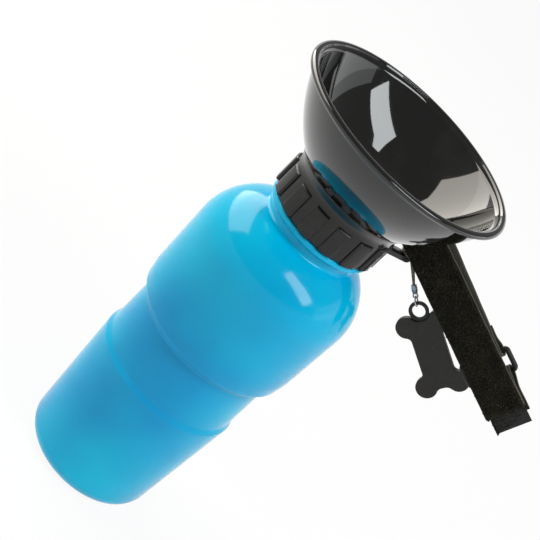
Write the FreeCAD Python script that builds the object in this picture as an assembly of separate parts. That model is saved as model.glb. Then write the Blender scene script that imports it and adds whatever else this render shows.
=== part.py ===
import FreeCAD, Part
import math
import os
from FreeCAD import Vector, Placement, Rotation

# Travel water bottle for dogs: a squeeze bottle with a drinking bowl on its screw cap.
# Millimetres. Z is the bottle's axis, and the origin is the middle of its base.

# ---- bottle: outside of the blown shell ----
WALL = 1.2
BASE_RADIUS = 32.6
BASE_CORNER = 9.0
BASE_GROOVE_RADIUS = 19.0
BASE_GROOVE_WIDTH = 4.0
BASE_GROOVE_DEPTH = 1.2
LOWER_TOP_RADIUS = 37.0
LOWER_HEIGHT = 66.0
WAIST_RADIUS = 35.7
WAIST_BOTTOM = 68.4
WAIST_FLARE = 12.5
BULGE_FOOT_RADIUS = 40.2
BULGE_FOOT = 105.0
BULGE_RADIUS = 42.4
SHOULDER_CORNER_HEIGHT = 156.6
SHOULDER_FLAT = 2.0
SHOULDER_SLOPE = 23.0

# ---- screw neck and cap ----
CAP_BOTTOM = 173.0
CAP_HEIGHT = 21.8
CAP_RADIUS = 27.3
CAP_WALL = 2.0
CAP_FLARE = 3.1
CAP_FLARE_RISE = 16.6
CAP_FLARE_ROUND = 8.0
CAP_TOP_ROUND = 0.4
THREAD_PITCH = 4.0
THREAD_TURNS = 1.25
THREAD_DEPTH = 1.2
THREAD_WIDTH = 1.6
THREAD_CREST = 0.9
THREAD_CLEARANCE = 0.3
NECK_WALL = 1.7
COLLAR_INSET = 0.1
COLLAR_THICKNESS = 2.4
COLLAR_GAP = 0.6
UNSCREW_TURNS = 1.5
SPIGOT_DEPTH = 6.0
SPIGOT_WALL = 2.2
SNAP_CLEARANCE = 0.05
SHELF_THICKNESS = 2.4
SHELF_HOLE_RADIUS = 12.0
GASKET_THICKNESS = 1.8
GASKET_CLEARANCE = 0.3
BOWL_SEAL_THICKNESS = 1.6

# ---- grip lugs round the cap ----
LUG_COUNT = 14
LUG_PROUD = 1.2
LUG_HEIGHT = 14.0
LUG_ANGLE = 15.0
LUG_PHASE = -93.9
LUG_ROUND = 0.9

# ---- bowl ----
BOWL_FOOT_LEDGE = 0.1
BOWL_WALL = 2.2
BOWL_HEIGHT = 33.2
BOWL_RIM_RADIUS = 54.6
BOWL_LIP_THICKNESS = 3.0
BOWL_LIP_WIDTH = 2.9
BOWL_SIDE_BULGE = 2.4
BOWL_FLOOR_THICKNESS = 2.6
BOWL_FLOOR_ROUND = 7.0

# ---- siphon tube ----
TUBE_RADIUS = 3.5
TUBE_WALL = 1.0
TUBE_FOOT_GAP = 6.0
SOCKET_WALL = 1.8
SOCKET_DEPTH = 14.0

# ---- strap bracket on the cap ----
BRACKET_AZIMUTH = 43.1
BAR_DISTANCE = 48.3
BAR_RADIUS = 2.4
ARM_RISE = 0.3
ARM_THICKNESS = 3.0
BRACKET_WINDOW_RISE = 28.2
BRACKET_TOP_THICKNESS = 2.6
BRACKET_THICKNESS = 4.8

# ---- strap ----
STRAP_AZIMUTH = -5.5
STRAP_DROOP = 17.0
STRAP_WIDTH = 19.0
STRAP_RISE = 6.2
PILE_THICKNESS = 1.1
BACKING_THICKNESS = 0.7
FOLD_HALF_WIDTH = 4.8
FOLD_SHIFT = 1.75
TURN_HALF_WIDTH = 1.0
RING_UPPER_BAR = 59.0
RING_LOWER_BAR = 69.2
TURN_BEYOND_RING = 16.3
FREE_END_BEYOND_RING = 24.8
RING_BAR_RADIUS = 1.1
RING_SIDE_BAR = 2.8
RING_SIDE_GAP = 0.5
RING_OFFSET = 0.6
RING_FOLD_CLEARANCE = 0.3
RING_LEAD = 1.5
SEWN_BEFORE_RING = 11.6
SEWN_LENGTH = 6.0
HOOK_LENGTH = 13.0
HOOK_MARGIN = 1.0
HOOK_THICKNESS = 0.5
STITCH_RADIUS = 0.25
STITCH_LENGTH = 1.8
STITCH_PITCH = 2.6
STITCH_ROW_START = 0.8
STITCH_ROW_SPACING = 2.2

# ---- tag: cord, crimp, jump ring and bone ----
CORD_RADIUS = 0.5
CORD_CLEARANCE = 0.4
CORD_FLAT_REACH = 2.2
CORD_DROP = 37.3
CORD_YAW = 5.0
CORD_LOOP_RISE = 4.25
CORD_LENGTH = 15.0
CRIMP_LENGTH = 4.2
CRIMP_RADIUS = 1.25
CRIMP_EYE_RADIUS = 1.4
CRIMP_EYE_HOLE = 0.75
CRIMP_EYE_THICKNESS = 0.9
JUMP_RING_RADIUS = 2.35
JUMP_RING_WIRE = 0.35
LINK_CLEARANCE = 0.15
CORD_END_GAP = 0.1
EYE_CLEARANCE = 0.3
BONE_LIFT = -9.0
BONE_LENGTH = 30.2
BONE_WIDTH = 15.5
BONE_SHAFT_WIDTH = 15.0
BONE_END_RISE = 1.8
BONE_LOBE_RADIUS = 5.2
BONE_THICKNESS = 3.0
BONE_FILLET = 0.5
EYE_HOLE_RADIUS = 3.1
EYE_WALL = 1.6
EYE_THICKNESS = 1.6
EYE_RISE = 6.4

# ---- heights and radii that follow ----
CAP_FLARE_FOOT = CAP_BOTTOM + CAP_FLARE_RISE
ARM_BOTTOM = CAP_BOTTOM + ARM_RISE
BRACKET_WINDOW_TOP = CAP_BOTTOM + BRACKET_WINDOW_RISE
STRAP_LOW_EDGE = CAP_BOTTOM + STRAP_RISE
CORD_LOOP_HEIGHT = CAP_BOTTOM + CORD_LOOP_RISE
CAP_FLARE_RADIUS = CAP_RADIUS + CAP_FLARE
COLLAR_RADIUS = CAP_RADIUS - COLLAR_INSET
BOWL_FOOT_RADIUS = CAP_FLARE_RADIUS + BOWL_FOOT_LEDGE
FRONT_LENGTH = RING_LOWER_BAR + TURN_BEYOND_RING
FREE_END_LENGTH = RING_LOWER_BAR + FREE_END_BEYOND_RING
SEWN_END = RING_UPPER_BAR - SEWN_BEFORE_RING
CAP_TOP = CAP_BOTTOM + CAP_HEIGHT
SHELF_TOP = CAP_TOP - SPIGOT_DEPTH
SHELF_BOTTOM = SHELF_TOP - SHELF_THICKNESS
MOUTH_HEIGHT = SHELF_BOTTOM - GASKET_THICKNESS
CAP_BORE = CAP_RADIUS - CAP_WALL
NECK_RADIUS = CAP_BORE - THREAD_DEPTH - THREAD_CLEARANCE
NECK_BORE = NECK_RADIUS - NECK_WALL
COLLAR_TOP = CAP_BOTTOM - COLLAR_GAP
RIM_HEIGHT = CAP_TOP + BOWL_HEIGHT
STRAP_THICKNESS = PILE_THICKNESS + BACKING_THICKNESS


def corner_arc(before, corner, after, radius):
    """Tangent points and middle of the arc that rounds one corner."""
    into = (before - corner).normalize()
    out = (after - corner).normalize()
    half = into.getAngle(out) / 2
    reach = radius / math.tan(half)
    start = corner + into * reach
    end = corner + out * reach
    inward = (into + out).normalize()
    centre = corner + inward * (radius / math.sin(half))
    middle = centre - inward * radius
    return start, middle, end


def rounded_edges(corners, closed):
    """Lines and tangent arcs through (x, y, radius) corners, laid in the XZ plane."""
    points = [Vector(x, 0, y) for x, y, radius in corners]
    count = len(points)
    edges = []
    first = None
    last = None
    for index, (x, y, radius) in enumerate(corners):
        point = points[index]
        inner = closed or 0 < index < count - 1
        if radius > 0 and inner:
            before = points[index - 1]
            after = points[(index + 1) % count]
            start, middle, end = corner_arc(before, point, after, radius)
            if last is not None and last.distanceToPoint(start) > 1e-6:
                edges.append(Part.LineSegment(last, start).toShape())
            edges.append(Part.Arc(start, middle, end).toShape())
        else:
            start = point
            end = point
            if last is not None and last.distanceToPoint(start) > 1e-6:
                edges.append(Part.LineSegment(last, start).toShape())
        if first is None:
            first = start
        last = end
    if closed and last.distanceToPoint(first) > 1e-6:
        edges.append(Part.LineSegment(last, first).toShape())
    return edges


def rounded_face(corners):
    """Closed flat face with rounded corners in the XZ plane."""
    return Part.Face(Part.Wire(rounded_edges(corners, True)))


def turned(corners):
    """Solid of revolution about Z of a closed outline of (radius, height, rounding)."""
    return rounded_face(corners).revolve(Vector(0, 0, 0), Vector(0, 0, 1), 360)


def offset_corners(corners, distance):
    """Open path moved sideways: positive is to the left of its direction."""
    count = len(corners)
    points = [Vector(x, y, 0) for x, y, radius in corners]
    moved = []
    for index in range(count):
        radius = corners[index][2]
        before = points[max(index - 1, 0)]
        after = points[min(index + 1, count - 1)]
        here = points[index]
        if index in (0, count - 1):
            along = (after - before).normalize()
            moved.append((here.x - along.y * distance, here.y + along.x * distance, 0))
            continue
        into = (here - before).normalize()
        out = (after - here).normalize()
        turn = into.x * out.y - into.y * out.x
        normal_in = Vector(-into.y, into.x, 0)
        normal_out = Vector(-out.y, out.x, 0)
        bisector = (normal_in + normal_out).normalize()
        reach = distance / bisector.dot(normal_in)
        shifted = here + bisector * reach
        new_radius = radius
        if radius > 0:
            new_radius = radius - distance * math.copysign(1, turn)
        moved.append((shifted.x, shifted.y, max(new_radius, 0)))
    return moved


def ribbon(path, near, far, width):
    """Band of one layer along a path, from one side offset to another, extruded by its width."""
    one_side = rounded_edges(offset_corners(path, near), False)
    other_side = rounded_edges(offset_corners(path, far), False)
    start_cap = Part.LineSegment(one_side[0].Vertexes[0].Point, other_side[0].Vertexes[0].Point)
    end_cap = Part.LineSegment(one_side[-1].Vertexes[-1].Point, other_side[-1].Vertexes[-1].Point)
    edges = one_side + other_side + [start_cap.toShape(), end_cap.toShape()]
    wire = Part.Wire(Part.__sortEdges__(edges))
    return Part.Face(wire).extrude(Vector(0, -width, 0))


def ring_sector(inner, outer, low, high, start_angle, sweep):
    """Piece of a tube between two radii, two heights and two angles in degrees."""
    face = rounded_face([(inner, low, 0), (outer, low, 0), (outer, high, 0), (inner, high, 0)])
    sector = face.revolve(Vector(0, 0, 0), Vector(0, 0, 1), sweep)
    sector.rotate(Vector(0, 0, 0), Vector(0, 0, 1), start_angle)
    return sector


# ---- bottle ----
def bottle_outline(inset):
    """Outer outline of the bottle up to the neck's foot, moved inward by a wall."""
    slope = math.radians(SHOULDER_SLOPE)
    neck = NECK_RADIUS
    foot_rise = (BULGE_RADIUS - neck) * math.tan(slope)
    shoulder_run = (BULGE_RADIUS - neck) / math.cos(slope)
    shoulder_round = (shoulder_run - SHOULDER_FLAT) / math.tan((math.pi / 2 - slope) / 2)
    outline = [
        (0, 0, 0),
        (BASE_GROOVE_RADIUS - BASE_GROOVE_WIDTH / 2, 0, 1.0),
        (BASE_GROOVE_RADIUS - BASE_GROOVE_WIDTH / 4, BASE_GROOVE_DEPTH, 0.2),
        (BASE_GROOVE_RADIUS + BASE_GROOVE_WIDTH / 4, BASE_GROOVE_DEPTH, 0.2),
        (BASE_GROOVE_RADIUS + BASE_GROOVE_WIDTH / 2, 0, 1.0),
        (BASE_RADIUS, 0, BASE_CORNER),
        (LOWER_TOP_RADIUS, LOWER_HEIGHT, 2.6),
        (WAIST_RADIUS, WAIST_BOTTOM, 2.6),
        (WAIST_RADIUS, BULGE_FOOT - WAIST_FLARE, 14.0),
        (BULGE_FOOT_RADIUS, BULGE_FOOT, 10.0),
        (BULGE_RADIUS, SHOULDER_CORNER_HEIGHT, shoulder_round),
        (neck, SHOULDER_CORNER_HEIGHT + foot_rise, 2.4),
        (neck, MOUTH_HEIGHT, 0),
    ]
    return offset_corners(outline, inset)


def helix_ridge(radius, depth, start_height):
    """Thread ridge of trapezium section that winds up from a start height."""
    path = Part.makeHelix(THREAD_PITCH, THREAD_PITCH * THREAD_TURNS, radius)
    path.translate(Vector(0, 0, start_height))
    root = radius - math.copysign(0.3, depth)
    crest = radius + depth
    section = Part.makePolygon([
        Vector(root, 0, start_height - THREAD_WIDTH / 2),
        Vector(crest, 0, start_height - THREAD_CREST / 2),
        Vector(crest, 0, start_height + THREAD_CREST / 2),
        Vector(root, 0, start_height + THREAD_WIDTH / 2),
        Vector(root, 0, start_height - THREAD_WIDTH / 2),
    ])
    return Part.Wire(path.Edges).makePipeShell([section], True, True)


def bottle():
    outline = bottle_outline(0)
    inner = bottle_outline(WALL)
    outside = turned(outline + [(0, MOUTH_HEIGHT, 0)])
    hollow_outline = inner[:-2]
    neck_foot = inner[-2]
    hollow_outline.append((NECK_BORE, neck_foot[1] - (NECK_BORE - neck_foot[0]) * 0.4, 0))
    hollow_outline.append((NECK_BORE, MOUTH_HEIGHT + 1, 0))
    hollow_outline.append((0, MOUTH_HEIGHT + 1, 0))
    hollow = turned(hollow_outline)
    collar = turned([
        (NECK_RADIUS - 0.5, COLLAR_TOP - COLLAR_THICKNESS - 2.2, 0),
        (COLLAR_RADIUS, COLLAR_TOP - COLLAR_THICKNESS, 0.6),
        (COLLAR_RADIUS, COLLAR_TOP, 0.8),
        (NECK_RADIUS - 0.5, COLLAR_TOP, 0),
    ])
    ridge = helix_ridge(NECK_RADIUS, THREAD_DEPTH, CAP_BOTTOM + THREAD_WIDTH)
    return outside.fuse(collar).cut(hollow).fuse(ridge).removeSplitter()


# ---- cap ----
def grip_lug():
    """One raised grip, rounded on its outer edges."""
    lug = ring_sector(CAP_RADIUS - 0.5, CAP_RADIUS + LUG_PROUD, CAP_BOTTOM,
                      CAP_BOTTOM + LUG_HEIGHT, -LUG_ANGLE / 2, LUG_ANGLE)
    outer = [edge for edge in lug.Edges if on_lug_face(edge)]
    return lug.makeFillet(LUG_ROUND, outer)


def on_lug_face(edge):
    """True for the two upright edges and the top edge of a lug's outer face."""
    middle = edge.valueAt((edge.FirstParameter + edge.LastParameter) / 2)
    distance = math.hypot(middle.x, middle.y)
    return distance > CAP_RADIUS + LUG_PROUD - 0.05 and middle.z > CAP_BOTTOM + 0.1


def bracket():
    """Window bracket that holds the strap's bar, standing out from the cap."""
    outer = BAR_DISTANCE + BAR_RADIUS
    inner = CAP_RADIUS - 0.8
    top = BRACKET_WINDOW_TOP + BRACKET_TOP_THICKNESS
    bar_inside = BAR_DISTANCE - BAR_RADIUS
    arm_top = ARM_BOTTOM + ARM_THICKNESS
    frame = rounded_face([
        (inner, ARM_BOTTOM, 0),
        (outer, ARM_BOTTOM, 2.2),
        (outer, top, 2.2),
        (bar_inside - 5.0, top, 1.5),
        (inner, CAP_TOP - 7.4, 0),
    ])
    window = rounded_face([
        (CAP_RADIUS + 3.2, arm_top, 1.2),
        (bar_inside, arm_top, 0),
        (bar_inside, BRACKET_WINDOW_TOP, 0),
        (bar_inside - 5.6, BRACKET_WINDOW_TOP, 0.6),
        (CAP_RADIUS + 3.2, CAP_TOP - 8.0, 1.2),
    ])
    plate = frame.cut(window).extrude(Vector(0, BRACKET_THICKNESS, 0))
    plate.translate(Vector(0, -BRACKET_THICKNESS / 2, 0))
    around_bar = Part.makeBox(2 * BAR_RADIUS + 1, 10, BRACKET_WINDOW_TOP - arm_top,
                              Vector(bar_inside - 0.5, -5, arm_top))
    bar = Part.makeCylinder(BAR_RADIUS, BRACKET_WINDOW_TOP - arm_top + 2,
                            Vector(BAR_DISTANCE, 0, arm_top - 1))
    return plate.cut(around_bar).fuse(bar)


def cap_collar():
    body = turned([
        (CAP_BORE, CAP_BOTTOM, 0),
        (CAP_RADIUS, CAP_BOTTOM, 0.5),
        (CAP_RADIUS, CAP_FLARE_FOOT, CAP_FLARE_ROUND),
        (CAP_FLARE_RADIUS, CAP_TOP, CAP_TOP_ROUND),
        (CAP_BORE, CAP_TOP, 0),
        (CAP_BORE, SHELF_TOP, 0),
        (SHELF_HOLE_RADIUS, SHELF_TOP, 0),
        (SHELF_HOLE_RADIUS, SHELF_BOTTOM, 0),
        (CAP_BORE, SHELF_BOTTOM, 0),
    ])
    lug = grip_lug()
    for index in range(LUG_COUNT):
        copy = lug.copy()
        copy.rotate(Vector(0, 0, 0), Vector(0, 0, 1), LUG_PHASE + index * 360 / LUG_COUNT)
        body = body.fuse(copy)
    strap_bracket = bracket()
    strap_bracket.rotate(Vector(0, 0, 0), Vector(0, 0, 1), BRACKET_AZIMUTH)
    body = body.fuse(strap_bracket)
    start = CAP_BOTTOM + THREAD_WIDTH + THREAD_PITCH / 2
    ridge = helix_ridge(CAP_BORE, -THREAD_DEPTH, start)
    return body.fuse(ridge)


# ---- bowl, seals and tube ----
def arc_with(start, middle, end):
    return Part.Arc(start, middle, end).toShape()


def line_to(points):
    return [Part.LineSegment(points[i], points[i + 1]).toShape() for i in range(len(points) - 1)]


def spin(edges):
    """Solid of revolution of a closed outline made of edges."""
    return Part.Face(Part.Wire(edges)).revolve(Vector(0, 0, 0), Vector(0, 0, 1), 360)


def bowl():
    """Drinking bowl with a rolled lip, a snap-in spigot and a socket for the tube."""
    foot = CAP_TOP
    lip_bottom = RIM_HEIGHT - BOWL_LIP_THICKNESS
    wall_top = BOWL_RIM_RADIUS - BOWL_LIP_WIDTH
    floor_top = foot + BOWL_FLOOR_THICKNESS
    above = RIM_HEIGHT + 1
    low = Vector(BOWL_FOOT_RADIUS, 0, foot)
    high = Vector(wall_top, 0, lip_bottom)
    chord = (high - low).normalize()
    middle = (low + high) * 0.5 + Vector(chord.z, 0, -chord.x) * BOWL_SIDE_BULGE
    side = Part.Circle(low, middle, high)
    centre = side.Center
    reach = side.Radius - BOWL_WALL
    outside = [arc_with(low, middle, high)] + line_to([
        high, Vector(wall_top, 0, RIM_HEIGHT), Vector(0, 0, RIM_HEIGHT), Vector(0, 0, foot), low])

    def inner_point(height):
        return Vector(centre.x + math.sqrt(reach ** 2 - (height - centre.z) ** 2), 0, height)

    inner_low = inner_point(floor_top)
    inner_high = inner_point(RIM_HEIGHT)
    inner_middle = inner_point((floor_top + RIM_HEIGHT) / 2)
    mouth_edge = Vector(inner_high.x + 0.5, 0, above)
    inside = [arc_with(inner_low, inner_middle, inner_high)] + line_to([
        inner_high, mouth_edge, Vector(0, 0, above), Vector(0, 0, floor_top), inner_low])
    hollow = spin(inside)
    floor_edge = [edge for edge in hollow.Edges if abs(edge.BoundBox.ZMax - floor_top) < 1e-3]
    hollow = hollow.makeFillet(BOWL_FLOOR_ROUND, floor_edge)
    lip = turned([
        (wall_top - BOWL_WALL / 2, lip_bottom, 0),
        (wall_top + 0.6, lip_bottom, 0.4),
        (BOWL_RIM_RADIUS, lip_bottom + 0.5, 1.2),
        (BOWL_RIM_RADIUS, RIM_HEIGHT, 1.2),
        (wall_top - BOWL_WALL / 2, RIM_HEIGHT, 0),
    ])
    spigot_bottom = SHELF_TOP + BOWL_SEAL_THICKNESS
    spigot_radius = CAP_BORE - SNAP_CLEARANCE
    spigot = turned([
        (spigot_radius - SPIGOT_WALL, spigot_bottom, 0),
        (spigot_radius, spigot_bottom, 0.4),
        (spigot_radius, foot + 0.5, 0),
        (spigot_radius - SPIGOT_WALL, foot + 0.5, 0),
    ])
    socket_foot = Vector(0, 0, foot - SOCKET_DEPTH)
    socket = Part.makeCylinder(TUBE_RADIUS + SOCKET_WALL, SOCKET_DEPTH + 1, socket_foot)
    bore = Part.makeCylinder(TUBE_RADIUS + SNAP_CLEARANCE, SOCKET_DEPTH, socket_foot)
    outlet = Part.makeCylinder(TUBE_RADIUS - TUBE_WALL, BOWL_FLOOR_THICKNESS + 2, Vector(0, 0, foot - 1))
    solid = spin(outside).fuse(lip).cut(hollow)
    rim = [edge for edge in solid.Edges if is_rim_circle(edge, inner_high.x)]
    solid = solid.makeFillet(BOWL_WALL * 0.4, rim)
    return solid.fuse(spigot).fuse(socket).cut(bore).cut(outlet).removeSplitter()


def is_rim_circle(edge, radius):
    """True for the circle of this radius on the lip's top."""
    box = edge.BoundBox
    return box.ZMin > RIM_HEIGHT - 1e-3 and abs(box.XMax - radius) < 1e-3


def flat_ring(inner, outer, low, high):
    return turned([(inner, low, 0), (outer, low, 0), (outer, high, 0), (inner, high, 0)])


def bowl_seal():
    """Flat ring between the bowl's spigot and the cap's shelf."""
    outer = CAP_BORE - 2 * SNAP_CLEARANCE
    return flat_ring(outer - SPIGOT_WALL - 1.0, outer, SHELF_TOP, SHELF_TOP + BOWL_SEAL_THICKNESS)


def mouth_gasket():
    """Flat ring between the bottle's mouth and the cap's shelf."""
    return flat_ring(NECK_BORE - 1.0, CAP_BORE - GASKET_CLEARANCE, MOUTH_HEIGHT, SHELF_BOTTOM)


def siphon_tube():
    """Straight tube from the bowl's outlet to just above the bottle's floor."""
    low = WALL + TUBE_FOOT_GAP
    outer = Part.makeCylinder(TUBE_RADIUS, CAP_TOP - low, Vector(0, 0, low))
    inner = Part.makeCylinder(TUBE_RADIUS - TUBE_WALL, CAP_TOP - low + 2, Vector(0, 0, low - 1))
    return outer.cut(inner)


# ---- strap: made flat in its own frame, then set at the bracket's bar ----
def bar_centre(height):
    angle = math.radians(BRACKET_AZIMUTH)
    return Vector(BAR_DISTANCE * math.cos(angle), BAR_DISTANCE * math.sin(angle), height)


def strap_place(shape):
    """From the strap's frame (length along X, thickness Y, width Z) to the bottle's frame."""
    droop = math.radians(STRAP_DROOP)
    middle = STRAP_LOW_EDGE + STRAP_WIDTH / 2 * math.cos(droop)
    tilt = Placement(Vector(0, 0, 0), Rotation(Vector(0, 1, 0), STRAP_DROOP))
    swing = Placement(bar_centre(middle), Rotation(Vector(0, 0, 1), STRAP_AZIMUTH))
    placed = shape.copy()
    placed.Placement = swing.multiply(tilt).multiply(placed.Placement)
    return placed


def flat_to_strap(shape):
    """An XZ drawing extruded along -Y becomes length X, thickness Y and width Z, centred."""
    laid = shape.copy()
    laid.rotate(Vector(0, 0, 0), Vector(1, 0, 0), -90)
    laid.translate(Vector(0, 0, -STRAP_WIDTH / 2))
    return laid


def strap_path():
    """Middle line of the band, from the sewn end at the ring to the free end."""
    fold = RING_BAR_RADIUS + RING_FOLD_CLEARANCE + STRAP_THICKNESS / 2
    back = RING_OFFSET + fold
    front = RING_OFFSET - fold
    inner_leg = -FOLD_HALF_WIDTH + 2 * TURN_HALF_WIDTH
    free_leg = inner_leg + STRAP_THICKNESS + HOOK_THICKNESS + 0.1
    upper_end = RING_UPPER_BAR + fold
    lower_end = RING_LOWER_BAR - fold
    return [
        (SEWN_END, front + STRAP_THICKNESS + 1.45, 0),
        (SEWN_END + SEWN_LENGTH, front + STRAP_THICKNESS + 0.75, 6.0),
        (RING_UPPER_BAR - RING_LEAD, back, 4.0),
        (upper_end, back, fold * 0.98),
        (upper_end, front, fold * 0.98),
        (RING_UPPER_BAR - 3.0, front, 6.0),
        (4.0, FOLD_HALF_WIDTH, 20.0),
        (-FOLD_SHIFT - FOLD_HALF_WIDTH, FOLD_HALF_WIDTH, FOLD_HALF_WIDTH * 0.98),
        (-FOLD_SHIFT - FOLD_HALF_WIDTH, -FOLD_HALF_WIDTH, FOLD_HALF_WIDTH * 0.98),
        (FRONT_LENGTH - STRAP_THICKNESS / 2, -FOLD_HALF_WIDTH, TURN_HALF_WIDTH * 0.98),
        (FRONT_LENGTH - STRAP_THICKNESS / 2, inner_leg, TURN_HALF_WIDTH * 0.98),
        (RING_LOWER_BAR + 5.5, inner_leg, 6.0),
        (RING_LOWER_BAR + RING_LEAD, front, 4.0),
        (lower_end, front, fold * 0.98),
        (lower_end, back, fold * 0.98),
        (RING_LOWER_BAR + RING_LEAD, back, 4.0),
        (RING_LOWER_BAR + 8.0, free_leg, 6.0),
        (FREE_END_LENGTH, free_leg, 0),
    ]


def strap_layer(near, far):
    band = ribbon(strap_path(), near, far, STRAP_WIDTH)
    return strap_place(flat_to_strap(band))


def strap_ring():
    """Moulded oblong ring that the band is sewn to and passes through."""
    outer_low = RING_UPPER_BAR - RING_BAR_RADIUS
    outer_high = RING_LOWER_BAR + RING_BAR_RADIUS
    half = STRAP_WIDTH / 2 + RING_SIDE_GAP
    outer_half = half + RING_SIDE_BAR
    frame = Part.makeBox(outer_high - outer_low, 2 * RING_BAR_RADIUS, 2 * outer_half,
                         Vector(outer_low, RING_OFFSET - RING_BAR_RADIUS, -outer_half))
    corners = [edge for edge in frame.Edges if is_along(edge, Vector(0, 1, 0))]
    frame = frame.makeFillet(2.6, corners)
    hole = Part.makeBox(outer_high - outer_low - 4 * RING_BAR_RADIUS, 10, 2 * half,
                        Vector(outer_low + 2 * RING_BAR_RADIUS, RING_OFFSET - 5, -half))
    ring = frame.cut(hole)
    ring = ring.makeFillet(0.7, ring.Edges)
    return strap_place(ring)


def is_along(edge, direction):
    tangent = edge.tangentAt(edge.FirstParameter)
    return abs(tangent.dot(direction)) > 0.999 and edge.Curve.TypeId == "Part::GeomLine"


def strap_hook_patch():
    """Hook tape on the face of the free end that grips the returning leg."""
    face = strap_path()[-1][1] - STRAP_THICKNESS / 2 - HOOK_THICKNESS
    start = FREE_END_LENGTH - HOOK_LENGTH - HOOK_MARGIN
    patch = Part.makeBox(HOOK_LENGTH, HOOK_THICKNESS, STRAP_WIDTH - 2 * HOOK_MARGIN,
                         Vector(start, face, HOOK_MARGIN - STRAP_WIDTH / 2))
    return strap_place(patch)


def strap_stitching():
    """Rows of thread across the band that sew the folded end down."""
    path = strap_path()
    start = path[0]
    second = path[1]
    slope = math.degrees(math.atan2(second[1] - start[1], second[0] - start[0]))
    stitches = []
    count = int((STRAP_WIDTH - 3) / STITCH_PITCH)
    for row in range(2):
        along = STITCH_ROW_START + row * STITCH_ROW_SPACING
        for index in range(count + 1):
            width = (index - count / 2) * STITCH_PITCH
            thread = Part.makeBox(2 * STITCH_RADIUS, STITCH_RADIUS, STITCH_LENGTH,
                                  Vector(along, STRAP_THICKNESS / 2, width - STITCH_LENGTH / 2))
            thread.rotate(Vector(0, 0, 0), Vector(0, 0, 1), slope)
            thread.translate(Vector(start[0], start[1], 0))
            stitches.append(strap_place(thread))
    return Part.makeCompound(stitches)


# ---- tag ----
def tag_place(shape):
    """From the tag's frame (hanging along X, plate in XZ) to the bottle's frame."""
    swing = Rotation(Vector(0, 0, 1), CORD_YAW)
    droop = Rotation(Vector(0, 1, 0), CORD_DROP)
    placed = shape.copy()
    hung = Placement(bar_centre(CORD_LOOP_HEIGHT), swing.multiply(droop))
    placed.Placement = hung.multiply(placed.Placement)
    return placed


def cord_route():
    """Loop of cord round the bar, its two strands closing in on the crimp."""
    reach = BAR_RADIUS + CORD_RADIUS + CORD_CLEARANCE
    drop = math.radians(CORD_DROP)
    visible = CORD_LENGTH - CORD_END_GAP
    span = visible * math.cos(drop) - CORD_FLAT_REACH
    fall = visible * math.sin(drop)
    swing = Rotation(Vector(0, 0, 1), CORD_YAW)
    one_side = [Vector(CORD_FLAT_REACH + span * share, reach * aside, -fall * share)
                for share, aside in ((1.0, 0.17), (0.66, 0.36), (0.32, 0.7), (0.0, 0.94))]
    one_side.append(Vector(-reach, reach, 0))
    other_side = [Vector(point.x, -point.y, point.z) for point in reversed(one_side)]
    return [bar_centre(CORD_LOOP_HEIGHT) + swing.multVec(point) for point in one_side + other_side]


def arc_radius(before, corner, after):
    """Largest tidy bend at a point of the cord's route."""
    shorter = min(before.distanceToPoint(corner), corner.distanceToPoint(after))
    turn = (corner - before).getAngle(after - corner)
    return 0.45 * shorter / math.tan(turn / 2)


def cord_tube(points, radius):
    """Tube of straight runs joined by tangent arcs."""
    edges = []
    last = points[0]
    for index in range(1, len(points) - 1):
        before = points[index - 1]
        corner = points[index]
        after = points[index + 1]
        bend = arc_radius(before, corner, after)
        start, middle, end = corner_arc(before, corner, after, bend)
        print("cord bend", index, "radius", round(bend, 2))
        edges.append(Part.LineSegment(last, start).toShape())
        edges.append(Part.Arc(start, middle, end).toShape())
        last = end
    edges.append(Part.LineSegment(last, points[-1]).toShape())
    path = Part.Wire(edges)
    section = Part.Wire(Part.makeCircle(radius, points[0], points[1] - points[0]))
    tube = path.makePipeShell([section], True, True)
    length = sum(edge.Length for edge in edges)
    expected = math.pi * radius ** 2 * length
    print("cord length", round(length, 2))
    print("cord volume", round(tube.Volume, 2), "section x length", round(expected, 2))
    return tube


def tag_cord():
    return cord_tube(cord_route(), CORD_RADIUS)


def cord_crimp():
    """Crimped sleeve with a flat eye at its lower end."""
    sleeve = Part.makeCylinder(CRIMP_RADIUS, CRIMP_LENGTH, Vector(CORD_LENGTH, 0, 0), Vector(1, 0, 0))
    eye_centre = CORD_LENGTH + CRIMP_LENGTH + CRIMP_EYE_RADIUS - 0.2
    eye = Part.makeCylinder(CRIMP_EYE_RADIUS, CRIMP_EYE_THICKNESS,
                            Vector(eye_centre, -CRIMP_EYE_THICKNESS / 2, 0), Vector(0, 1, 0))
    hole = Part.makeCylinder(CRIMP_EYE_HOLE, 4, Vector(eye_centre, -2, 0), Vector(0, 1, 0))
    return tag_place(sleeve.fuse(eye).cut(hole))


def ring_top():
    """Where the jump ring's wire passes through the crimp's eye, along the tag."""
    eye_centre = CORD_LENGTH + CRIMP_LENGTH + CRIMP_EYE_RADIUS - 0.2
    return eye_centre + CRIMP_EYE_HOLE - JUMP_RING_WIRE - LINK_CLEARANCE


def ring_bottom():
    return ring_top() + 2 * JUMP_RING_RADIUS


def jump_ring():
    ring = Part.makeTorus(JUMP_RING_RADIUS, JUMP_RING_WIRE,
                          Vector(ring_top() + JUMP_RING_RADIUS, 0, 0), Vector(0, 0, 1))
    return tag_place(ring)


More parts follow.
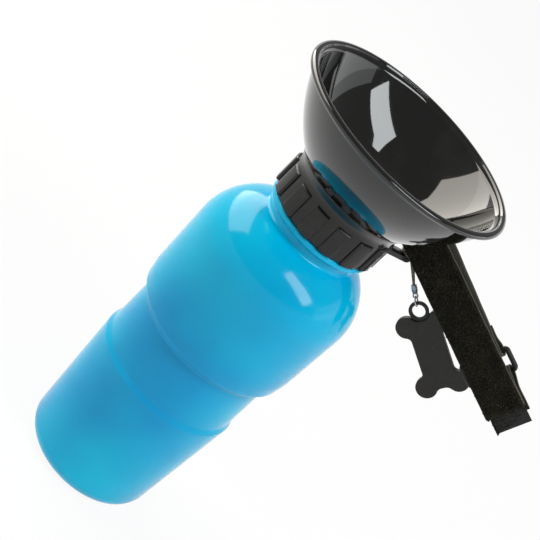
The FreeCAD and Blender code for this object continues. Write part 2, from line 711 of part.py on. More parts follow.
def bone_tag():
    """Flat bone: a shaft with four round lobes and an eye above its top edge."""
    eye_centre = ring_bottom() + EYE_HOLE_RADIUS - JUMP_RING_WIRE - EYE_CLEARANCE
    top = eye_centre + EYE_RISE
    bottom = top + BONE_LENGTH
    half = BONE_WIDTH / 2
    low = -BONE_THICKNESS / 2
    along = Vector(0, 1, 0)
    shaft = Vector(top - BONE_END_RISE, low, -BONE_SHAFT_WIDTH / 2)
    shaft_length = BONE_LENGTH + 2 * BONE_END_RISE
    shape = Part.makeBox(shaft_length, BONE_THICKNESS, BONE_SHAFT_WIDTH, shaft)
    for x in (top, bottom):
        for z in (-half, half):
            lobe = Part.makeCylinder(BONE_LOBE_RADIUS, BONE_THICKNESS, Vector(x, low, z), along)
            shape = shape.fuse(lobe)
    shape = shape.removeSplitter()
    rim = [edge for edge in shape.Edges if abs(abs(edge.CenterOfMass.y) - BONE_THICKNESS / 2) < 1e-4]
    shape = shape.makeFillet(BONE_FILLET, rim)
    eye_low = -EYE_THICKNESS / 2
    eye_middle = Vector(eye_centre, eye_low, 0)
    eye = Part.makeCylinder(EYE_HOLE_RADIUS + EYE_WALL, EYE_THICKNESS, eye_middle, along)
    neck_corner = Vector(eye_centre, eye_low, -EYE_HOLE_RADIUS)
    neck = Part.makeBox(EYE_RISE, EYE_THICKNESS, 2 * EYE_HOLE_RADIUS, neck_corner)
    hole = Part.makeCylinder(EYE_HOLE_RADIUS, 8, Vector(eye_centre, -4, 0), along)
    bone = shape.fuse(eye).fuse(neck).cut(hole)
    bone.rotate(Vector(ring_bottom(), 0, 0), along, BONE_LIFT)
    return tag_place(bone)


NODES = {
    "bottle": bottle,
    "mouth_gasket": mouth_gasket,
    "cap_collar": cap_collar,
    "bowl": bowl,
    "bowl_seal": bowl_seal,
    "siphon_tube": siphon_tube,
    "strap_pile_tape": lambda: strap_layer(-STRAP_THICKNESS / 2, PILE_THICKNESS - STRAP_THICKNESS / 2),
    "strap_backing": lambda: strap_layer(PILE_THICKNESS - STRAP_THICKNESS / 2, STRAP_THICKNESS / 2),
    "strap_ring": strap_ring,
    "strap_hook_patch": strap_hook_patch,
    "strap_stitching": strap_stitching,
    "tag_cord": tag_cord,
    "cord_crimp": cord_crimp,
    "jump_ring": jump_ring,
    "bone_tag": bone_tag,
}

os.makedirs("parts", exist_ok=True)
for name, make in NODES.items():
    shape = make()
    print(name, shape.isValid(), len(shape.Solids), round(shape.Volume, 1), shape.BoundBox)
    shape.exportStep("parts/" + name + ".step")
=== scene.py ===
import math
import random

import bmesh
import bpy
from mathutils import Matrix, Vector


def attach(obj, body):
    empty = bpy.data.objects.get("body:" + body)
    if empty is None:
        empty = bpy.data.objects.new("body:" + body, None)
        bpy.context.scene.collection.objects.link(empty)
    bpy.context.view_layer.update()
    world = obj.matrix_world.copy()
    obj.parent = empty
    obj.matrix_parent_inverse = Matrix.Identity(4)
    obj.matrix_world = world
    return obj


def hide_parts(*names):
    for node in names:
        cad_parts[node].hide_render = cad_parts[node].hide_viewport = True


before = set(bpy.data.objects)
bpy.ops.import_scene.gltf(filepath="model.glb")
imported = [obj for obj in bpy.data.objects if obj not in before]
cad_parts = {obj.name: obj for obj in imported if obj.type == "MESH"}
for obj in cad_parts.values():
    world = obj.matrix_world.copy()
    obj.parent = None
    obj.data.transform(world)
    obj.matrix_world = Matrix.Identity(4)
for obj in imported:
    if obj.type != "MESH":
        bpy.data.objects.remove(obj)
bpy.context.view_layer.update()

bl_info = {
    "name": "Dog travel bottle",
    "version": (1, 0, 0),
    "blender": (4, 5, 0),
    "location": "View3D > Sidebar > Dog bottle",
    "description": "Dresses the frame of a squeeze bottle with a drinking bowl, a strap and a tag",
    "category": "Object",
}

MM = 0.001


# Properties


def size(name, default, description):
    return bpy.props.FloatProperty(
        name=name, description=description, default=default, unit="LENGTH", precision=5
    )


def colour(name, default, description):
    return bpy.props.FloatVectorProperty(
        name=name, description=description, default=default, size=3, subtype="COLOR", min=0.0, max=1.0
    )


def strength(name, default, description):
    return bpy.props.FloatProperty(name=name, description=description, default=default)


class BottleSettings(bpy.types.PropertyGroup):
    wall: size("Wall", 1.2 * MM, "Thickness of the blown wall")
    bulge_radius: size("Bulge", 42.4 * MM, "Outer radius of the bulge under the shoulder")
    waist_radius: size("Waist", 35.7 * MM, "Outer radius of the grip waist")
    foot_radius: size("Foot", 32.6 * MM, "Outer radius at the base")
    blue: colour("Blue", (0.0, 0.345, 0.70), "Colour of the bottle")
    # The paler cyan is painted light: it stands in for light shining through the translucent wall.
    painted_glow_cyan: colour("Cyan", (0.0, 0.55, 0.84), "Paler colour where the wall is thin")
    water_white: colour("Milky", (0.45, 0.66, 0.76), "Colour of the tube and the gaskets")


class CapSettings(bpy.types.PropertyGroup):
    wall_radius: size("Cap", 27.3 * MM, "Outer radius of the cap's wall")
    lug_proud: size("Lug", 1.2 * MM, "Height of a grip lug above the wall")
    lug_count: bpy.props.IntProperty(name="Lugs", description="Number of grip lugs", default=14, min=3)
    black: colour("Black", (0.010, 0.010, 0.009), "Colour of the moulded cap")


class BowlSettings(bpy.types.PropertyGroup):
    rim_radius: size("Rim", 54.6 * MM, "Outer radius of the rolled lip")
    wall: size("Wall", 2.2 * MM, "Thickness of the bowl's wall")
    black: colour("Black", (0.008, 0.008, 0.007), "Colour of the polished bowl")


class StrapSettings(bpy.types.PropertyGroup):
    pile_height: size("Pile", 0.9 * MM, "Length of the pile's loops")
    tuft_pitch: size("Tuft pitch", 0.62 * MM, "Distance between tufts")
    pile_colour: colour("Pile", (0.0112, 0.0098, 0.0060), "Colour of the loop pile")
    tape_colour: colour("Tape", (0.118, 0.107, 0.082), "Colour of the smooth backing")


class TagSettings(bpy.types.PropertyGroup):
    cord_radius: size("Cord", 0.5 * MM, "Radius of the cord")
    bone_thickness: size("Bone", 3.0 * MM, "Thickness of the bone")
    bone_length: size("Bone length", 30.2 * MM, "Distance between the middles of the upper and lower lobes")
    bone_colour: colour("Bone", (0.0088, 0.0070, 0.0036), "Colour of the bone tag")
    cord_colour: colour("Cord", (0.095, 0.080, 0.058), "Colour of the cord")


class StageSettings(bpy.types.PropertyGroup):
    floor_size: size("Floor", 6.0, "Width of the round floor")
    wall_height: size("Wall", 1.1, "Height of the pale wall round the floor")
    room_light: strength("Room", 0.22, "Strength of the dim room over the set")
    key_power: strength("Key", 9.8, "Power of the main soft box in watts")
    fill_power: strength("Fill", 6.0, "Power of the overhead strip in watts")
    side_power: strength("Side", 0.7, "Power of the weak side box in watts")
    warm: colour("Warm", (1.0, 0.95, 0.87), "Tint of the main soft box")
    cool: colour("Cool", (0.95, 0.99, 1.0), "Tint of the other boxes")


# Small tools


def settings(group):
    return getattr(bpy.context.scene, "dog_bottle_" + group)


def lay_down():
    """Leave edit mode and deselect everything, so the next operator acts on its own piece only."""
    if bpy.context.mode != "OBJECT":
        bpy.ops.object.mode_set(mode="OBJECT")
    bpy.ops.object.select_all(action="DESELECT")


def take(piece):
    lay_down()
    piece.select_set(True)
    bpy.context.view_layer.objects.active = piece


def edit(piece):
    take(piece)
    bpy.ops.object.mode_set(mode="EDIT")


def select_all(mode="VERT"):
    bpy.ops.mesh.select_mode(type=mode)
    bpy.ops.mesh.select_all(action="SELECT")


def mark_selection(piece, wanted, kind):
    """Select the verts, edges or faces of the piece in edit mode that a test accepts."""
    bpy.ops.mesh.select_mode(type={"verts": "VERT", "edges": "EDGE", "faces": "FACE"}[kind])
    bpy.ops.mesh.select_all(action="DESELECT")
    work = bmesh.from_edit_mesh(piece.data)
    for part in getattr(work, kind):
        if wanted(part):
            part.select_set(True)
    work.select_flush_mode()
    bmesh.update_edit_mesh(piece.data)


def weld():
    """Merge the vertices that lie on each other."""
    select_all()
    bpy.ops.mesh.remove_doubles(threshold=1e-6)


def tidy_surface(merge=True):
    """Merge doubles, turn all faces outwards and leave edit mode."""
    if merge:
        weld()
    select_all()
    bpy.ops.mesh.normals_make_consistent(inside=False)
    lay_down()


def added(primitive, **values):
    """A new primitive, added with nothing else selected."""
    lay_down()
    primitive(**values)
    return bpy.context.object


def extrude(x, y, z):
    bpy.ops.mesh.extrude_region_move(TRANSFORM_OT_translate={"value": (x, y, z)})


def modify(piece, kind, **values):
    """Give the piece one modifier and apply it."""
    modifier = piece.modifiers.new(kind.lower(), kind)
    for label, value in values.items():
        setattr(modifier, label, value)
    take(piece)
    bpy.ops.object.modifier_apply(modifier=modifier.name)


def combine(piece, other, operation):
    """Join another solid to the piece or cut it out of it."""
    modify(piece, "BOOLEAN", operation=operation, solver="EXACT", object=other)
    bpy.data.objects.remove(other)


def rotation(degrees, axis):
    return Matrix.Rotation(math.radians(degrees), 4, axis)


def move(x, y, z):
    """A move in millimetres."""
    return Matrix.Translation(Vector((x, y, z)) * MM)


def place(piece, matrix=Matrix()):
    """Move the piece to its place and keep that place in the mesh."""
    take(piece)
    piece.matrix_world = matrix @ piece.matrix_world
    bpy.ops.object.transform_apply(location=True, rotation=True, scale=True)


def smooth(piece, degrees=35.0):
    take(piece)
    bpy.ops.object.shade_smooth_by_angle(angle=math.radians(degrees))


def finish_piece(piece, body, material, node):
    """Dress a finished piece, tie it to its body and let it stand for its node."""
    lay_down()
    piece.data.materials.clear()
    piece.data.materials.append(material)
    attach(piece, body)
    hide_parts(node)
    return piece


def corner_points(before, corner, after, radius, step=7.0):
    """Points along the arc that rounds one corner of an outline."""
    into = (before - corner).normalized()
    out = (after - corner).normalized()
    half = into.angle(out) / 2
    reach = radius / math.tan(half)
    inward = (into + out).normalized()
    centre = corner + inward * (radius / math.sin(half))
    first = corner + into * reach - centre
    last = corner + out * reach - centre
    sweep = math.atan2(first.cross(last).length, first.dot(last))
    count = max(2, math.ceil(math.degrees(sweep) / step))
    axis = first.cross(last).normalized()
    return [centre + Matrix.Rotation(sweep * i / count, 3, axis) @ first for i in range(count + 1)]


def outline_points(corners, closed=False, step=7.0):
    """Outline of (x, y, rounding) corners as points, rounded where a corner has a rounding."""
    corners = [c if len(c) == 3 else (c[0], c[1], 0.0) for c in corners]
    flat = [Vector((x, y, 0)) for x, y, radius in corners]
    points = []
    for index, (x, y, radius) in enumerate(corners):
        inner = closed or 0 < index < len(corners) - 1
        if radius > 0 and inner:
            after = flat[(index + 1) % len(flat)]
            points += corner_points(flat[index - 1], flat[index], after, radius, step)
        else:
            points.append(flat[index])
    return [(p.x, p.y) for p in points]


def circle_through(a, b, c):
    """Centre and radius of the circle through three points."""
    d = 2 * (a[0] * (b[1] - c[1]) + b[0] * (c[1] - a[1]) + c[0] * (a[1] - b[1]))
    squares = [p[0] ** 2 + p[1] ** 2 for p in (a, b, c)]
    x = (squares[0] * (b[1] - c[1]) + squares[1] * (c[1] - a[1]) + squares[2] * (a[1] - b[1])) / d
    y = (squares[0] * (c[0] - b[0]) + squares[1] * (a[0] - c[0]) + squares[2] * (b[0] - a[0])) / d
    return (x, y), math.hypot(a[0] - x, a[1] - y)


def arc_points(centre, radius, low, high, count):
    """Points on a circle between two heights, on the side away from the axis."""
    points = []
    for index in range(count + 1):
        height = low + (high - low) * index / count
        points.append((centre[0] + math.sqrt(radius ** 2 - (height - centre[1]) ** 2), height))
    return points


def arc_turn(centre, radius, start, end, count):
    """Points round a centre from one angle to another, both ends left out."""
    turns = [start + (end - start) * (index + 0.5) / count for index in range(count)]
    return [(centre[0] + radius * math.cos(turn), centre[1] + radius * math.sin(turn)) for turn in turns]


def drawn_chain(name, points):
    """A chain of edges in the XZ plane, drawn by extruding one vertex from point to point."""
    start = (points[0][0] * MM, 0, points[0][1] * MM)
    piece = added(bpy.ops.mesh.primitive_plane_add, size=MM, location=start)
    piece.name = name
    bpy.ops.object.transform_apply(location=True)
    edit(piece)
    select_all()
    bpy.ops.mesh.merge(type="CENTER")
    for last, point in zip(points, points[1:]):
        extrude((point[0] - last[0]) * MM, 0, (point[1] - last[1]) * MM)
    return piece


def lathe(name, points, segments, closed=False):
    """A turned piece: the outline is spun about the bottle's axis."""
    piece = drawn_chain(name, points + points[:1] if closed else points)
    select_all()
    bpy.ops.mesh.spin(steps=segments, angle=math.tau, center=(0, 0, 0), axis=(0, 0, 1))
    tidy_surface()
    return piece


def joined(name, pieces):
    lay_down()
    for piece in pieces:
        piece.select_set(True)
    bpy.context.view_layer.objects.active = pieces[0]
    bpy.ops.object.join()
    pieces[0].name = name
    return pieces[0]


def scattered(name, pattern, places):
    """One piece made of many copies of a small pattern, each with its own place."""
    take(pattern)
    bpy.ops.object.duplicate()
    piece = bpy.context.object
    piece.name = name
    work = bmesh.new()
    for matrix in places:
        copy = pattern.data.copy()
        copy.transform(matrix)
        work.from_mesh(copy)
        bpy.data.meshes.remove(copy)
    work.to_mesh(piece.data)
    work.free()
    bpy.data.objects.remove(pattern)
    return piece


# Materials


def node_group(name, inputs, outputs):
    group = bpy.data.node_groups.new(name, "ShaderNodeTree")
    for label, default in inputs:
        socket = group.interface.new_socket(label, in_out="INPUT", socket_type="NodeSocketFloat")
        socket.default_value = default
    group.interface.new_socket("Vector", in_out="INPUT", socket_type="NodeSocketVector")
    for label in outputs:
        group.interface.new_socket(label, in_out="OUTPUT", socket_type="NodeSocketFloat")
    start = group.nodes.new("NodeGroupInput")
    end = group.nodes.new("NodeGroupOutput")
    return group, start, end


def hand_out(group, end, **results):
    """Link the group's results to its outputs."""
    for label, value in results.items():
        group.links.new(value, end.inputs[label])
    return group


def wire(tree, value, socket):
    """Link a socket to what comes out of a node, or set it to a number or a colour."""
    if isinstance(value, bpy.types.NodeSocket):
        tree.links.new(value, socket)
    elif isinstance(value, (int, float)):
        socket.default_value = value
    else:
        socket.default_value = (*value, 1.0)


def noise_node(tree, vector, scale, detail, roughness=0.5):
    node = tree.nodes.new("ShaderNodeTexNoise")
    given = {"Vector": vector, "Scale": scale, "Detail": detail, "Roughness": roughness}
    for label, value in given.items():
        wire(tree, value, node.inputs[label])
    return node.outputs["Fac"]


def math_node(tree, operation, first, second=0.0):
    node = tree.nodes.new("ShaderNodeMath")
    node.operation = operation
    wire(tree, first, node.inputs[0])
    wire(tree, second, node.inputs[1])
    return node.outputs[0]


def plus(tree, first, second):
    return math_node(tree, "ADD", first, second)


def times(tree, first, second):
    return math_node(tree, "MULTIPLY", first, second)


def ranged(tree, value, low, high, to_low=0.0, to_high=1.0):
    """A value stretched from one range to another, and clamped to it."""
    node = tree.nodes.new("ShaderNodeMapRange")
    given = {"Value": value, "From Min": low, "From Max": high, "To Min": to_low, "To Max": to_high}
    for label, number in given.items():
        wire(tree, number, node.inputs[label])
    return node.outputs["Result"]


def make_moulded_skin():
    """Plastic that came out of a mould: slow sink waves, fine grain and rubbed spots."""
    group, start, end = node_group(
        "moulded_skin",
        [("Wave Scale", 60.0), ("Grain Scale", 900.0), ("Grain", 0.15), ("Gloss", 0.1), ("Rub", 0.1)],
        ["Height", "Roughness", "Mask"],
    )
    given = start.outputs
    wave = noise_node(group, given["Vector"], given["Wave Scale"], 1.0)
    grain = noise_node(group, given["Vector"], given["Grain Scale"], 2.0)
    rub = noise_node(group, given["Vector"], given["Wave Scale"], 6.0, 0.62)
    spots = ranged(group, rub, 0.52, 0.72)
    height = plus(group, wave, times(group, grain, given["Grain"]))
    roughness = plus(group, given["Gloss"], times(group, spots, given["Rub"]))
    return hand_out(group, end, Height=height, Roughness=roughness, Mask=spots)


def make_woven_tape():
    """Plain weave of a narrow tape: warp and weft ridges with uneven yarn."""
    group, start, end = node_group("woven_tape", [("Yarns", 1400.0), ("Unevenness", 0.4)], ["Height", "Mask"])
    given = start.outputs
    split = group.nodes.new("ShaderNodeSeparateXYZ")
    group.links.new(given["Vector"], split.inputs[0])
    warp, weft = [
        math_node(group, "SINE", times(group, times(group, split.outputs[axis], given["Yarns"]), math.pi))
        for axis in "XY"
    ]
    uneven = noise_node(group, given["Vector"], 260.0, 4.0, 0.6)
    height = plus(group, times(group, warp, weft), times(group, uneven, given["Unevenness"]))
    return hand_out(group, end, Height=height, Mask=ranged(group, height, -0.6, 1.2))


def make_lint():
    """Pale lint and dust specks caught on a fabric or a soft tag."""
    group, start, end = node_group("lint", [("Speck Scale", 1500.0), ("Amount", 0.1)], ["Mask"])
    given = start.outputs
    speck = noise_node(group, given["Vector"], given["Speck Scale"], 1.0)
    patch = noise_node(group, given["Vector"], 90.0, 3.0, 0.6)
    level = math_node(group, "SUBTRACT", 0.78, given["Amount"])
    dots = ranged(group, speck, level, plus(group, level, 0.08))
    return hand_out(group, end, Mask=times(group, dots, patch))


EFFECTS = {"moulded_skin": make_moulded_skin, "woven_tape": make_woven_tape, "lint": make_lint}


def tinted(tint, factor, more=0.0):
    return tuple(min(1.0, c * factor + more) for c in tint)


class Dress:
    """One material in the making: a Principled shader fed by Object coordinates or the piece's UV map."""

    def __init__(self, name, uv=False, **values):
        self.material = bpy.data.materials.new(name)
        self.material.use_nodes = True
        self.tree = self.material.node_tree
        self.shader = self.tree.nodes["Principled BSDF"]
        self.shader.inputs["IOR"].default_value = 1.46
        for label, value in values.items():
            self.feed(label.replace("_", " "), value)
        where = self.tree.nodes.new("ShaderNodeTexCoord")
        self.place = where.outputs["UV" if uv else "Object"]

    def feed(self, label, value):
        wire(self.tree, value, self.shader.inputs[label])

    def effect(self, name, **values):
        """One of the shared node groups, made when it is first wanted."""
        node = self.tree.nodes.new("ShaderNodeGroup")
        node.node_tree = bpy.data.node_groups.get(name) or EFFECTS[name]()
        for label, value in values.items():
            node.inputs[label.replace("_", " ")].default_value = value
        self.tree.links.new(self.place, node.inputs["Vector"])
        return node.outputs

    def noise(self, scale, detail, roughness=0.5):
        return noise_node(self.tree, self.place, scale, detail, roughness)

    def between(self, factor, first, second):
        node = self.tree.nodes.new("ShaderNodeMix")
        node.data_type = "RGBA"
        self.tree.links.new(factor, node.inputs["Factor"])
        wire(self.tree, first, node.inputs[6])
        wire(self.tree, second, node.inputs[7])
        return node.outputs[2]

    def coloured(self, factor, first, second):
        """Mix the base colour from two others, and hand over the material."""
        self.feed("Base Color", self.between(factor, first, second))
        return self.material

    def bump(self, height, distance, force):
        node = self.tree.nodes.new("ShaderNodeBump")
        given = {"Height": height, "Distance": distance, "Strength": force}
        for label, value in given.items():
            wire(self.tree, value, node.inputs[label])
        self.feed("Normal", node.outputs["Normal"])

    def moulded(self, distance, force, **values):
        """Take gloss and bump from the moulded skin, and return the mask of its rubbed spots."""
        skin = self.effect("moulded_skin", **values)
        self.feed("Roughness", skin["Roughness"])
        self.bump(skin["Height"], distance, force)
        return skin["Mask"]


def blown_blue():
    look = settings("bottle")
    dress = Dress(
        "blown_blue", Coat_Weight=0.08, Coat_Roughness=0.05, Specular_IOR_Level=0.22, Subsurface_Weight=0.1,
        Subsurface_Scale=0.004,
    )
    dress.shader.inputs["Subsurface Radius"].default_value = (0.2, 0.8, 1.0)
    dress.moulded(0.0004, 0.35, Wave_Scale=28.0, Grain=0.03, Gloss=0.13, Rub=0.06)
    # Painted light: random clouds of the paler cyan stand in for light shining through the translucent wall.
    painted_glow_cloud = ranged(dress.tree, dress.noise(14.0, 2.0), 0.35, 0.65)
    return dress.coloured(painted_glow_cloud, look.blue, look.painted_glow_cyan)


def moulded_black(name, tint, gloss, rub, grain, coat):
    dress = Dress(name, Coat_Weight=coat, Coat_Roughness=0.04, Specular_IOR_Level=0.36)
    mask = dress.moulded(0.00012, 0.3, Wave_Scale=36.0, Grain_Scale=1300.0, Grain=grain, Gloss=gloss, Rub=rub)
    return dress.coloured(mask, tint, tinted(tint, 1.8, 0.004))


def milky_soft(name, tint, gloss):
    dress = Dress(name)
    mask = dress.moulded(0.0002, 0.5, Wave_Scale=80.0, Grain=0.3, Gloss=gloss, Rub=0.15)
    return dress.coloured(mask, tint, tinted(tint, 1.15))


def loop_pile():
    tint = settings("strap").pile_colour
    dress = Dress("loop_pile", Sheen_Weight=0.06, Specular_IOR_Level=0.15, Roughness=0.92)
    fuzz = dress.noise(1900.0, 4.0, 0.7)
    patch = dress.noise(170.0, 3.0, 0.6)
    lint = dress.effect("lint", Speck_Scale=1700.0, Amount=0.1)
    mixed = ranged(dress.tree, plus(dress.tree, fuzz, patch), 0.75, 1.3)
    brown = (tint[0] * 3.4, tint[1] * 3.3, tint[2] * 3.3)
    dress.bump(fuzz, 0.0005, 0.8)
    return dress.coloured(lint["Mask"], dress.between(mixed, tint, brown), (0.25, 0.24, 0.21))


def tape_weave():
    tint = settings("strap").tape_colour
    dress = Dress("backing_tape", uv=True, Sheen_Weight=0.15, Roughness=0.75)
    weave = dress.effect("woven_tape", Yarns=1500.0, Unevenness=0.5)
    base = dress.between(weave["Mask"], tinted(tint, 0.55), tint)
    worn = ranged(dress.tree, dress.noise(60.0, 3.0, 0.6), 0.55, 0.75, 0.0, 0.6)
    dress.bump(weave["Height"], 0.00012, 0.6)
    return dress.coloured(worn, base, tinted(tint, 1.6))


def spun_thread():
    tint = (0.03, 0.03, 0.03)
    dress = Dress("stitch_thread", Sheen_Weight=0.2)
    strand = dress.noise(2600.0, 3.0, 0.6)
    dress.feed("Roughness", ranged(dress.tree, strand, 0.3, 0.7, 0.55, 0.8))
    dress.bump(strand, 0.0001, 0.6)
    return dress.coloured(strand, tint, tinted(tint, 2.0, 0.01))


def twisted_cord():
    """Waxed cord with its strands wound round it, in the curve's own coordinates, with painted highlights on
    the strand crowns and painted shading in the grooves between them.
    """
    tint = settings("tag").cord_colour
    dress = Dress("twisted_cord", uv=True, Sheen_Weight=0.1)
    tree = dress.tree
    split = tree.nodes.new("ShaderNodeSeparateXYZ")
    tree.links.new(dress.place, split.inputs[0])
    turns = plus(tree, times(tree, split.outputs["X"], 30.0), times(tree, split.outputs["Y"], 3.0))
    strand = math_node(tree, "SINE", times(tree, turns, math.tau))
    # Painted light: the strand crowns get the paler colour as painted highlights, and the grooves between them
    # get the darker one as painted shading.
    painted_strand_light = ranged(tree, strand, -1.0, 1.0)
    dress.feed("Roughness", ranged(tree, painted_strand_light, 0.0, 1.0, 0.7, 0.45))
    dress.bump(strand, 0.00012, 0.8)
    return dress.coloured(painted_strand_light, tint, tinted(tint, 3.0, 0.02))


def worn_metal(name, tint, gloss):
    dress = Dress(name, Metallic=1.0)
    mask = dress.moulded(0.00005, 0.4, Wave_Scale=400.0, Grain_Scale=4000.0, Gloss=gloss, Rub=0.25)
    return dress.coloured(mask, tint, tinted(tint, 0.6))


def soft_bone():
    tint = settings("tag").bone_colour
    dress = Dress("soft_bone")
    mask = dress.moulded(0.00015, 0.5, Wave_Scale=110.0, Grain_Scale=2400.0, Grain=0.5, Gloss=0.5, Rub=0.12)
    lint = dress.effect("lint", Speck_Scale=1300.0, Amount=0.06)
    return dress.coloured(lint["Mask"], dress.between(mask, tint, tinted(tint, 1.5)), (0.2, 0.19, 0.17))


# The stage


COVE_ROUND = 450.0
BOWL_SPOT = Vector((0.0, 0.0, 0.20))
# The camera's own axes, and its focal length and picture width in pixels.
CAMERA_RIGHT = Vector((0.685484, 0.336114, 0.645863))
CAMERA_UP = Vector((-0.727480, 0.279929, 0.626429))
CAMERA_BACK = Vector((0.029756, -0.899259, 0.436404))
CAMERA_SPOT = (0.020529, -0.659306, 0.457442)
FOCAL_PIXELS = 1670.57
PICTURE_PIXELS = 540
SENSOR = 36.0


class DOGBOTTLE_OT_stage(bpy.types.Operator):
    """Set the floor, the soft boxes, the world and the camera"""

    bl_idname = "dogbottle.stage"
    bl_label = "Stage"

    def execute(self, context):
        stage = settings("stage")
        reach = stage.floor_size / 2 / MM
        outline = outline_points([(0, 0, 0), (reach, 0, COVE_ROUND), (reach, stage.wall_height / MM, 0)])
        cove = lathe("floor", outline, 96)
        smooth(cove, 60.0)
        cove.data.materials.append(self.floor_paint())
        key, fill, side = stage.key_power, stage.fill_power, stage.side_power
        self.soft_box("key_box", (-0.70, 0.28, 0.57), (0.33, 0.93, -0.16), (1.15, 0.50), key, stage.warm)
        self.soft_box("strip_box", (0.52, -0.36, 0.87), (-0.57, -0.13, 0.44), (0.76, 0.27), fill, stage.cool)
        self.soft_box("side_box", (0.80, 0.24, 0.45), (-0.30, 0.95, -0.1), (0.78, 0.30), side, stage.cool)
        self.sky()
        self.camera()
        return {"FINISHED"}

    def floor_paint(self):
        """Matt paint that glows white to what looks at it, and lights nothing."""
        paint = bpy.data.materials.new("pale_floor")
        paint.use_nodes = True
        tree = paint.node_tree
        tree.nodes.clear()
        out = tree.nodes.new("ShaderNodeOutputMaterial")
        matt = tree.nodes.new("ShaderNodeBsdfDiffuse")
        matt.inputs["Color"].default_value = (0.86, 0.86, 0.86, 1)
        glow = tree.nodes.new("ShaderNodeEmission")
        mix = tree.nodes.new("ShaderNodeMixShader")
        share = times(tree, self.seen_directly(tree), 0.92)
        for value, socket in zip((share, matt.outputs[0], glow.outputs[0]), mix.inputs):
            tree.links.new(value, socket)
        tree.links.new(mix.outputs[0], out.inputs["Surface"])
        return paint

    def seen_directly(self, tree):
        """1 for rays from the camera and for those that a mirror or a glass sends on."""
        path = tree.nodes.new("ShaderNodeLightPath").outputs
        both = plus(tree, path["Is Camera Ray"], path["Is Glossy Ray"])
        return math_node(tree, "MINIMUM", plus(tree, both, path["Is Transmission Ray"]), 1.0)

    def sky(self):
        """The dim room over the set, the same to every ray."""
        world = bpy.data.worlds.new("studio")
        bpy.context.scene.world = world
        world.use_nodes = True
        back = world.node_tree.nodes["Background"]
        back.inputs["Color"].default_value = (1, 1, 1, 1)
        back.inputs["Strength"].default_value = settings("stage").room_light

    def soft_box(self, name, spot, long_side, sides, power, tint):
        """A rectangular lamp at a spot, facing the bowl, its first side along long_side."""
        lay_down()
        bpy.ops.object.light_add(type="AREA", location=spot)
        lamp = bpy.context.object
        lamp.name = name
        lamp.data.shape = "RECTANGLE"
        lamp.data.size, lamp.data.size_y = sides
        lamp.data.energy = power
        lamp.data.color = tint
        away = (Vector(spot) - BOWL_SPOT).normalized()
        first = Vector(long_side)
        first = (first - away * first.dot(away)).normalized()
        self.aim(lamp, first, away.cross(first), away)
        lamp.visible_camera = False

    def aim(self, thing, right, up, back):
        thing.rotation_mode = "QUATERNION"
        thing.rotation_quaternion = Matrix((right, up, back)).transposed().to_quaternion()

    def camera(self):
        lay_down()
        bpy.ops.object.camera_add()
        camera = bpy.context.object
        camera.name = "camera"
        self.aim(camera, CAMERA_RIGHT, CAMERA_UP, CAMERA_BACK)
        camera.location = CAMERA_SPOT
        camera.data.sensor_width = SENSOR
        camera.data.lens = SENSOR * FOCAL_PIXELS / PICTURE_PIXELS
        camera.data.clip_start = 0.01
        camera.data.clip_end = 50.0
        bpy.context.scene.camera = camera
        bpy.context.scene.view_settings.view_transform = "Standard"


# Bottle


NECK_RADIUS = 23.8
NECK_BORE = 22.1
SHOULDER_HEIGHT = 156.6
COLLAR_RADIUS = 27.2
MOUTH_HEIGHT = 184.6
CAP_BOTTOM = 173.0
CAP_TOP = 194.8
CAP_BORE = 25.3
SHELF_TOP = 188.8
SHELF_BOTTOM = 186.4
SHELF_BORE = 12.0
RIM_HEIGHT = 228.0
THREAD_DEPTH = 1.2
THREAD_PITCH = 5.0
THREAD_TURNS = 1.25


def bottle_corners():
    look = settings("bottle")
    foot = look.foot_radius / MM
    waist = look.waist_radius / MM
    bulge = look.bulge_radius / MM
    rise = (bulge - NECK_RADIUS) * math.tan(math.radians(23.0))
    return [
        (0, 0, 0), (17.0, 0, 1.0), (18.0, 1.2, 0.2), (20.0, 1.2, 0.2), (21.0, 0, 1.0), (foot, 0, 9.0),
        (37.0, 66.0, 1.6), (waist, 68.6, 2.2), (waist, 94.2, 1.1), (39.4, 98.6, 1.6), (40.5, 106.0, 9.0),
        (bulge, SHOULDER_HEIGHT, 27.5), (NECK_RADIUS, SHOULDER_HEIGHT + rise, 2.4),
    ]


def shifted(corners, distance):
    """An open outline moved to its left, with its roundings fitted."""
    flat = [Vector((x, y, 0)) for x, y, radius in corners]
    moved = []
    for index, (x, y, radius) in enumerate(corners):
        before = flat[max(index - 1, 0)]
        after = flat[min(index + 1, len(flat) - 1)]
        here = flat[index]
        if index in (0, len(flat) - 1):
            along = (after - before).normalized()
            moved.append((x - along.y * distance, y + along.x * distance, 0))
            continue
        into = (here - before).normalized()
        out = (after - here).normalized()
        bend = into.x * out.y - into.y * out.x
        normal_in = Vector((-into.y, into.x, 0))
        bisector = (normal_in + Vector((-out.y, out.x, 0))).normalized()
        corner = here + bisector * (distance / bisector.dot(normal_in))
        rounding = max(radius - distance * math.copysign(1, bend), 0) if radius else 0
        moved.append((corner.x, corner.y, rounding))
    return moved


def thread_ridge(name, radius, depth, start):
    """A screw thread's ridge, wound up by a screw from its section."""
    root = radius - math.copysign(0.3, depth)
    crest = radius + depth
    points = [(root, start - 0.8), (crest, start - 0.45), (crest, start + 0.45), (root, start + 0.8)]
    piece = drawn_chain(name, points + points[:1])
    weld()
    modify(
        piece, "SCREW", angle=math.tau * THREAD_TURNS, screw_offset=THREAD_PITCH * MM, steps=100,
        render_steps=100, axis="Z", use_smooth_shade=False,
    )
    edit(piece)
    select_all()
    bpy.ops.mesh.fill_holes(sides=6)
    tidy_surface()
    return piece


